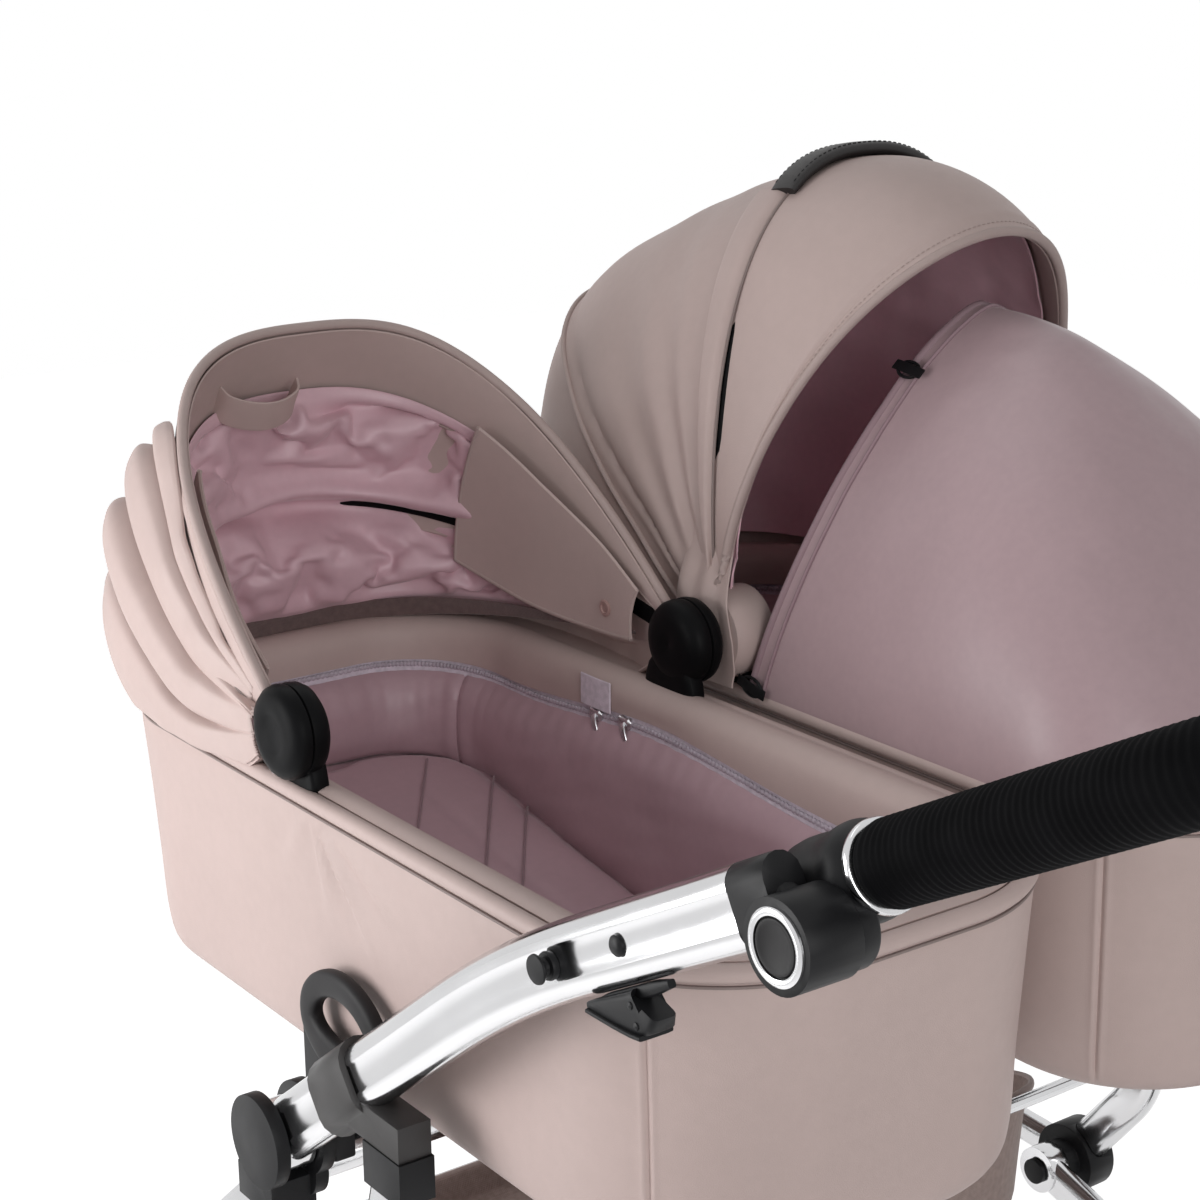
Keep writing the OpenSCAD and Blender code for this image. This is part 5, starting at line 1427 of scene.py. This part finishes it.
def left_details():
    """Small trim of the folded hood: strap loop, gussets at the sides with piping and a stud, mesh strip
    under the satin."""
    path = np.array([[-0.045, 0.350, 31.9], [-0.040, 0.338, 31.4], [-0.020, 0.3285, 30.9],
                     [0.004, 0.3285, 30.6], [0.024, 0.338, 31.0], [0.028, 0.351, 31.6]])
    line = spline(turned(path[:, 0] - 0.032, path[:, 1], path[:, 2]), 26)
    lean = np.broadcast_to(np.array([0, -math.sin(math.radians(31)), math.cos(math.radians(31))]),
                           line.shape)
    piece("hood_strap_left", *sweep(place(line, "left"), oval(0.0026, 0.030, 16, 6), lean), LEATHER,
          "hood_left", slot="leatherette")
    r, q = np.linspace(0.06, 0.265, 34)[None], np.linspace(0, 1, 18)[:, None]
    low = -10 + 14 * (r - 0.06) / 0.2
    a = np.radians(low + (33 - low) * q)
    width = 0.1775 * (1 - (r / 0.357) ** 2.9) ** (1 / 2.9) - 0.006 - 0.008 * ease(r, 0.10, 0.20)
    grid = np.stack(np.broadcast_arrays(width, HUB_Y + r * np.cos(a), HUB_Z + r * np.sin(a)), -1)
    hem = np.concatenate([grid[0], grid[1:, -1]]) - np.array([0.0015, 0, 0])
    for name, way in (("far", 1), ("near", -1)):
        flip = np.array([way, 1, 1])
        n = normals_of(grid * flip)
        panel = piece("hood_gusset_" + name, *skin_out(place(grid * flip, "left"),
                                                       n * np.sign(n[..., :1] * way), 0.003), LEATHER,
                      slot="leatherette")
        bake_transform(panel)
        cord = piece("gusset_piping_" + name, *sweep(place(hem * flip, "left"), oval(0.0046, 0.0046, 10),
                                                     (1, 0, 0)), PIPING,
                     slot="leatherette")
        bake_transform(cord)
    stud = [(0.0, 0.0), (0.0, 0.0068), (-0.0014, 0.0072), (-0.0022, 0.0060), (-0.0020, 0.0042),
            (-0.0010, 0.0036), (-0.0012, 0.0)]
    button = piece("gusset_stud", *lathe(stud, place((0.1676, 0.149, 0.052), "left"), "x", 36), STUD,
                   slot="leatherette")
    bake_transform(button)
    x, r = arch(120, 0.176, 0.337, 3.0, 0.06)
    rows = [turned(x * k, r * k, a) for k, a in ((0.985, -3.6), (0.992, -4.6), (0.998, -5.6), (1.0, -6.6))]
    piece("mesh_strip_left", *skin(place(np.array(rows), "left"), 0.0015), MESH, "carrycot_left",
          slot="basket_cloth")


HUB_COVER = np.array([(0.1590, 0.0358), (0.1590, 0.0372), (0.1700, 0.0378), (0.1890, 0.0376),
                      (0.1955, 0.0345),
                      (0.1980, 0.0255), (0.1984, 0.0), (0.1974, 0.0), (0.1970, 0.0255), (0.1945, 0.0325),
                      (0.1880, 0.0358)])


def hub_flaps():
    """Cloth tongues over the raised hood's hubs: strips that hang from the hoop, swell over the drum and
    end in a hem, with soft folds down their length."""
    v, u = np.meshgrid(np.linspace(0, 1, 44), np.linspace(-1, 1, 40), indexing="ij")
    z = 0.006 + 0.122 * v
    middle = HUB_Y + 0.004 + 0.20 * np.maximum(z - HUB_Z, 0)
    half = 0.0375 - 0.010 * v - 0.004 * (1 - ease(v, 0, 0.12))
    fold = 0.0012 * np.sin(7 * u + 3 * v + 0.5) * ease(v, 0.0, 0.4) + 0.0008 * waves(u, v, 95, 5, 2)
    swell = 0.1992 - 0.0185 * ease(v, 0.50, 1.0) - 0.0016 * np.abs(u) ** 3 + fold
    grid = np.stack([swell, middle + u * half, z], -1)
    for name, way in (("far", 1), ("near", -1)):
        flip = np.array([way, 1, 1])
        n = normals_of(grid * flip)
        panel = piece("hub_flap_%s_right" % name, *skin_out(place(grid * flip, "right"),
                                                            n * np.sign(n[..., :1] * way), 0.0016),
                      LEATHER, "hood_right", slot="leatherette")
        cover = lathe(HUB_COVER * np.array([way, 1]), place(HUB, "right"), "x", 64)
        piece("hub_cover_%s_right" % name, *cover, LEATHER, "hood_right", slot="leatherette")


# Setting the pieces

for side in SIDES:
    tub_cover(side)
    rim_trim(side)
    zip_and_wall(side)
    mattress(side)
    visor(side)
    hub_set(side)
    carry_handle(side)
    release_loops(side)
zip_pulls()
raised_hood()
folded_hood()
left_details()
hub_flaps()
apron()
arms()
arm_details()
handle()
wheels()
basket()

for name, width, look, body, slot in (
        ("front_struts", 0.001, CHROME, "chassis", "chrome_tube"),
        ("leg_tubes", 0.001, CHROME, "chassis", "chrome_tube"),
        ("base_tubes", 0.001, CHROME, "chassis", "chrome_tube"),
        ("fold_hubs", 0.003, PLASTIC, "chassis", "black_plastic"),
        ("frame_knuckles", 0.004, PLASTIC, "chassis", "black_plastic"),
        ("cross_tubes", 0.001, CHROME, "chassis", "chrome_tube"),
        ("outer_sockets", 0.004, PLASTIC, "chassis", "black_plastic"),
        ("centre_socket", 0.004, PLASTIC, "chassis", "black_plastic"),
        ("stem_housings", 0.003, PLASTIC, "chassis", "black_plastic"),
        ("rear_legs", 0.002, CHROME, "rear_frame", "chrome_tube"),
        ("rear_axle", 0.001, STEEL, "rear_frame", "steel"),
        ("fork_left", 0.002, PLASTIC, "fork_left", "black_plastic"),
        ("fork_right", 0.002, PLASTIC, "fork_right", "black_plastic"),
        ("rear_rim_left", 0.0015, WHEEL, "rear_wheel_left", "wheel_plastic"),
        ("rear_rim_right", 0.0015, WHEEL, "rear_wheel_right", "wheel_plastic"),
        ("front_rim_left", 0.0015, WHEEL, "front_wheel_left", "wheel_plastic"),
        ("front_rim_right", 0.0015, WHEEL, "front_wheel_right", "wheel_plastic"),
        ("arm_collars", 0.004, COLLAR, "push_frame", "black_plastic"),
        ("arm_ends", 0.005, PLASTIC, "push_frame", "black_plastic"),
        ("brake_pedal", 0.003, PLASTIC, "brake", "black_plastic"),
        ("cot_base_left", 0.0015, PLASTIC, "carrycot_left", "black_plastic"),
        ("cot_base_right", 0.0015, PLASTIC, "carrycot_right", "black_plastic")):
    softened(name, width, look, body)


# Camera, light and floor

def camera():
    """The picture's viewpoint: a 72 mm lens on a 36 mm wide frame."""
    data = bpy.data.cameras.new("viewpoint")
    data.lens = 72.0
    data.sensor_width = 36.0
    data.clip_end = 50
    obj = bpy.data.objects.new("viewpoint", data)
    right, up = (0.808048, -0.589050, -0.008918), (0.169505, 0.217973, 0.961122)
    ahead = (0.564205, 0.778144, -0.275979)
    at = (-1.160924, -1.190792, 1.408565)
    obj.matrix_world = Matrix([[right[i], up[i], -ahead[i], at[i]] for i in range(3)] + [[0, 0, 0, 1]])
    bpy.context.scene.collection.objects.link(obj)
    bpy.context.scene.camera = obj


def lamp(name, at, aim, size, watts):
    """A square soft light at a place, turned towards a point."""
    data = bpy.data.lights.new(name, "AREA")
    data.size = size
    data.energy = watts
    obj = bpy.data.objects.new(name, data)
    back = Vector(at) - Vector(aim)
    obj.matrix_world = Matrix.Translation(at) @ back.to_track_quat("Z", "Y").to_matrix().to_4x4()
    bpy.context.scene.collection.objects.link(obj)


def studio():
    """White surroundings that light softly, a key from the left, a fill near the viewpoint, a weak top
    light and a pale floor."""
    world = bpy.data.worlds.new("studio")
    bpy.context.scene.world = world
    world.use_nodes = True
    tree = world.node_tree
    back = tree.nodes["Background"]
    back.inputs["Color"].default_value = (1, 1, 1, 1)
    path = tree.nodes.new("ShaderNodeLightPath")
    seen = tree.nodes.new("ShaderNodeMath")
    seen.operation = "MAXIMUM"
    tree.links.new(path.outputs["Is Camera Ray"], seen.inputs[0])
    both = tree.nodes.new("ShaderNodeMath")
    both.operation = "MAXIMUM"
    tree.links.new(path.outputs["Is Glossy Ray"], both.inputs[0])
    tree.links.new(path.outputs["Is Transmission Ray"], both.inputs[1])
    tree.links.new(both.outputs[0], seen.inputs[1])
    level = tree.nodes.new("ShaderNodeMapRange")
    level.inputs["To Min"].default_value = 0.28
    level.inputs["To Max"].default_value = 1.0
    tree.links.new(seen.outputs[0], level.inputs["Value"])
    tree.links.new(level.outputs["Result"], back.inputs["Strength"])
    lamp("key", (-1.30, 0.60, 0.84), (0, 0.2, 0.8), 0.8, 12)
    lamp("fill", (-0.7, -1.8, 1.35), (0, 0.1, 0.9), 1.0, 16)
    lamp("top", (-0.2, 1.0, 2.6), (0, 0.2, 0.9), 1.2, 4)
    t = np.linspace(-6, 6, 25)
    x, y = np.meshgrid(t, t, indexing="ij")
    grid = np.stack([x, y, 0 * x - 0.0005], -1)
    look = Look("floor")
    look.colours(look.noise(3, 3), (0.3, (0.86, 0.86, 0.86)), (0.7, (0.89, 0.89, 0.89)))
    look.to("Roughness", look.span(look.noise(8, 2), 0.75, 0.9))
    rays = look.add("LightPath")
    bounced = look.maths("MAXIMUM", rays.outputs["Is Glossy Ray"], rays.outputs["Is Transmission Ray"])
    seen = look.maths("MAXIMUM", rays.outputs["Is Camera Ray"], bounced)
    look.shader.inputs["Emission Color"].default_value = (1, 1, 1, 1)
    look.to("Emission Strength", look.maths("MULTIPLY", seen, 0.74))
    quads = grid_quads(25, 25)
    ground = piece("floor", grid.reshape(-1, 3), quads, look.material)


camera()
studio()
view = bpy.context.scene.view_settings
view.view_transform = "Standard"
bpy.context.scene.frame_set(1)
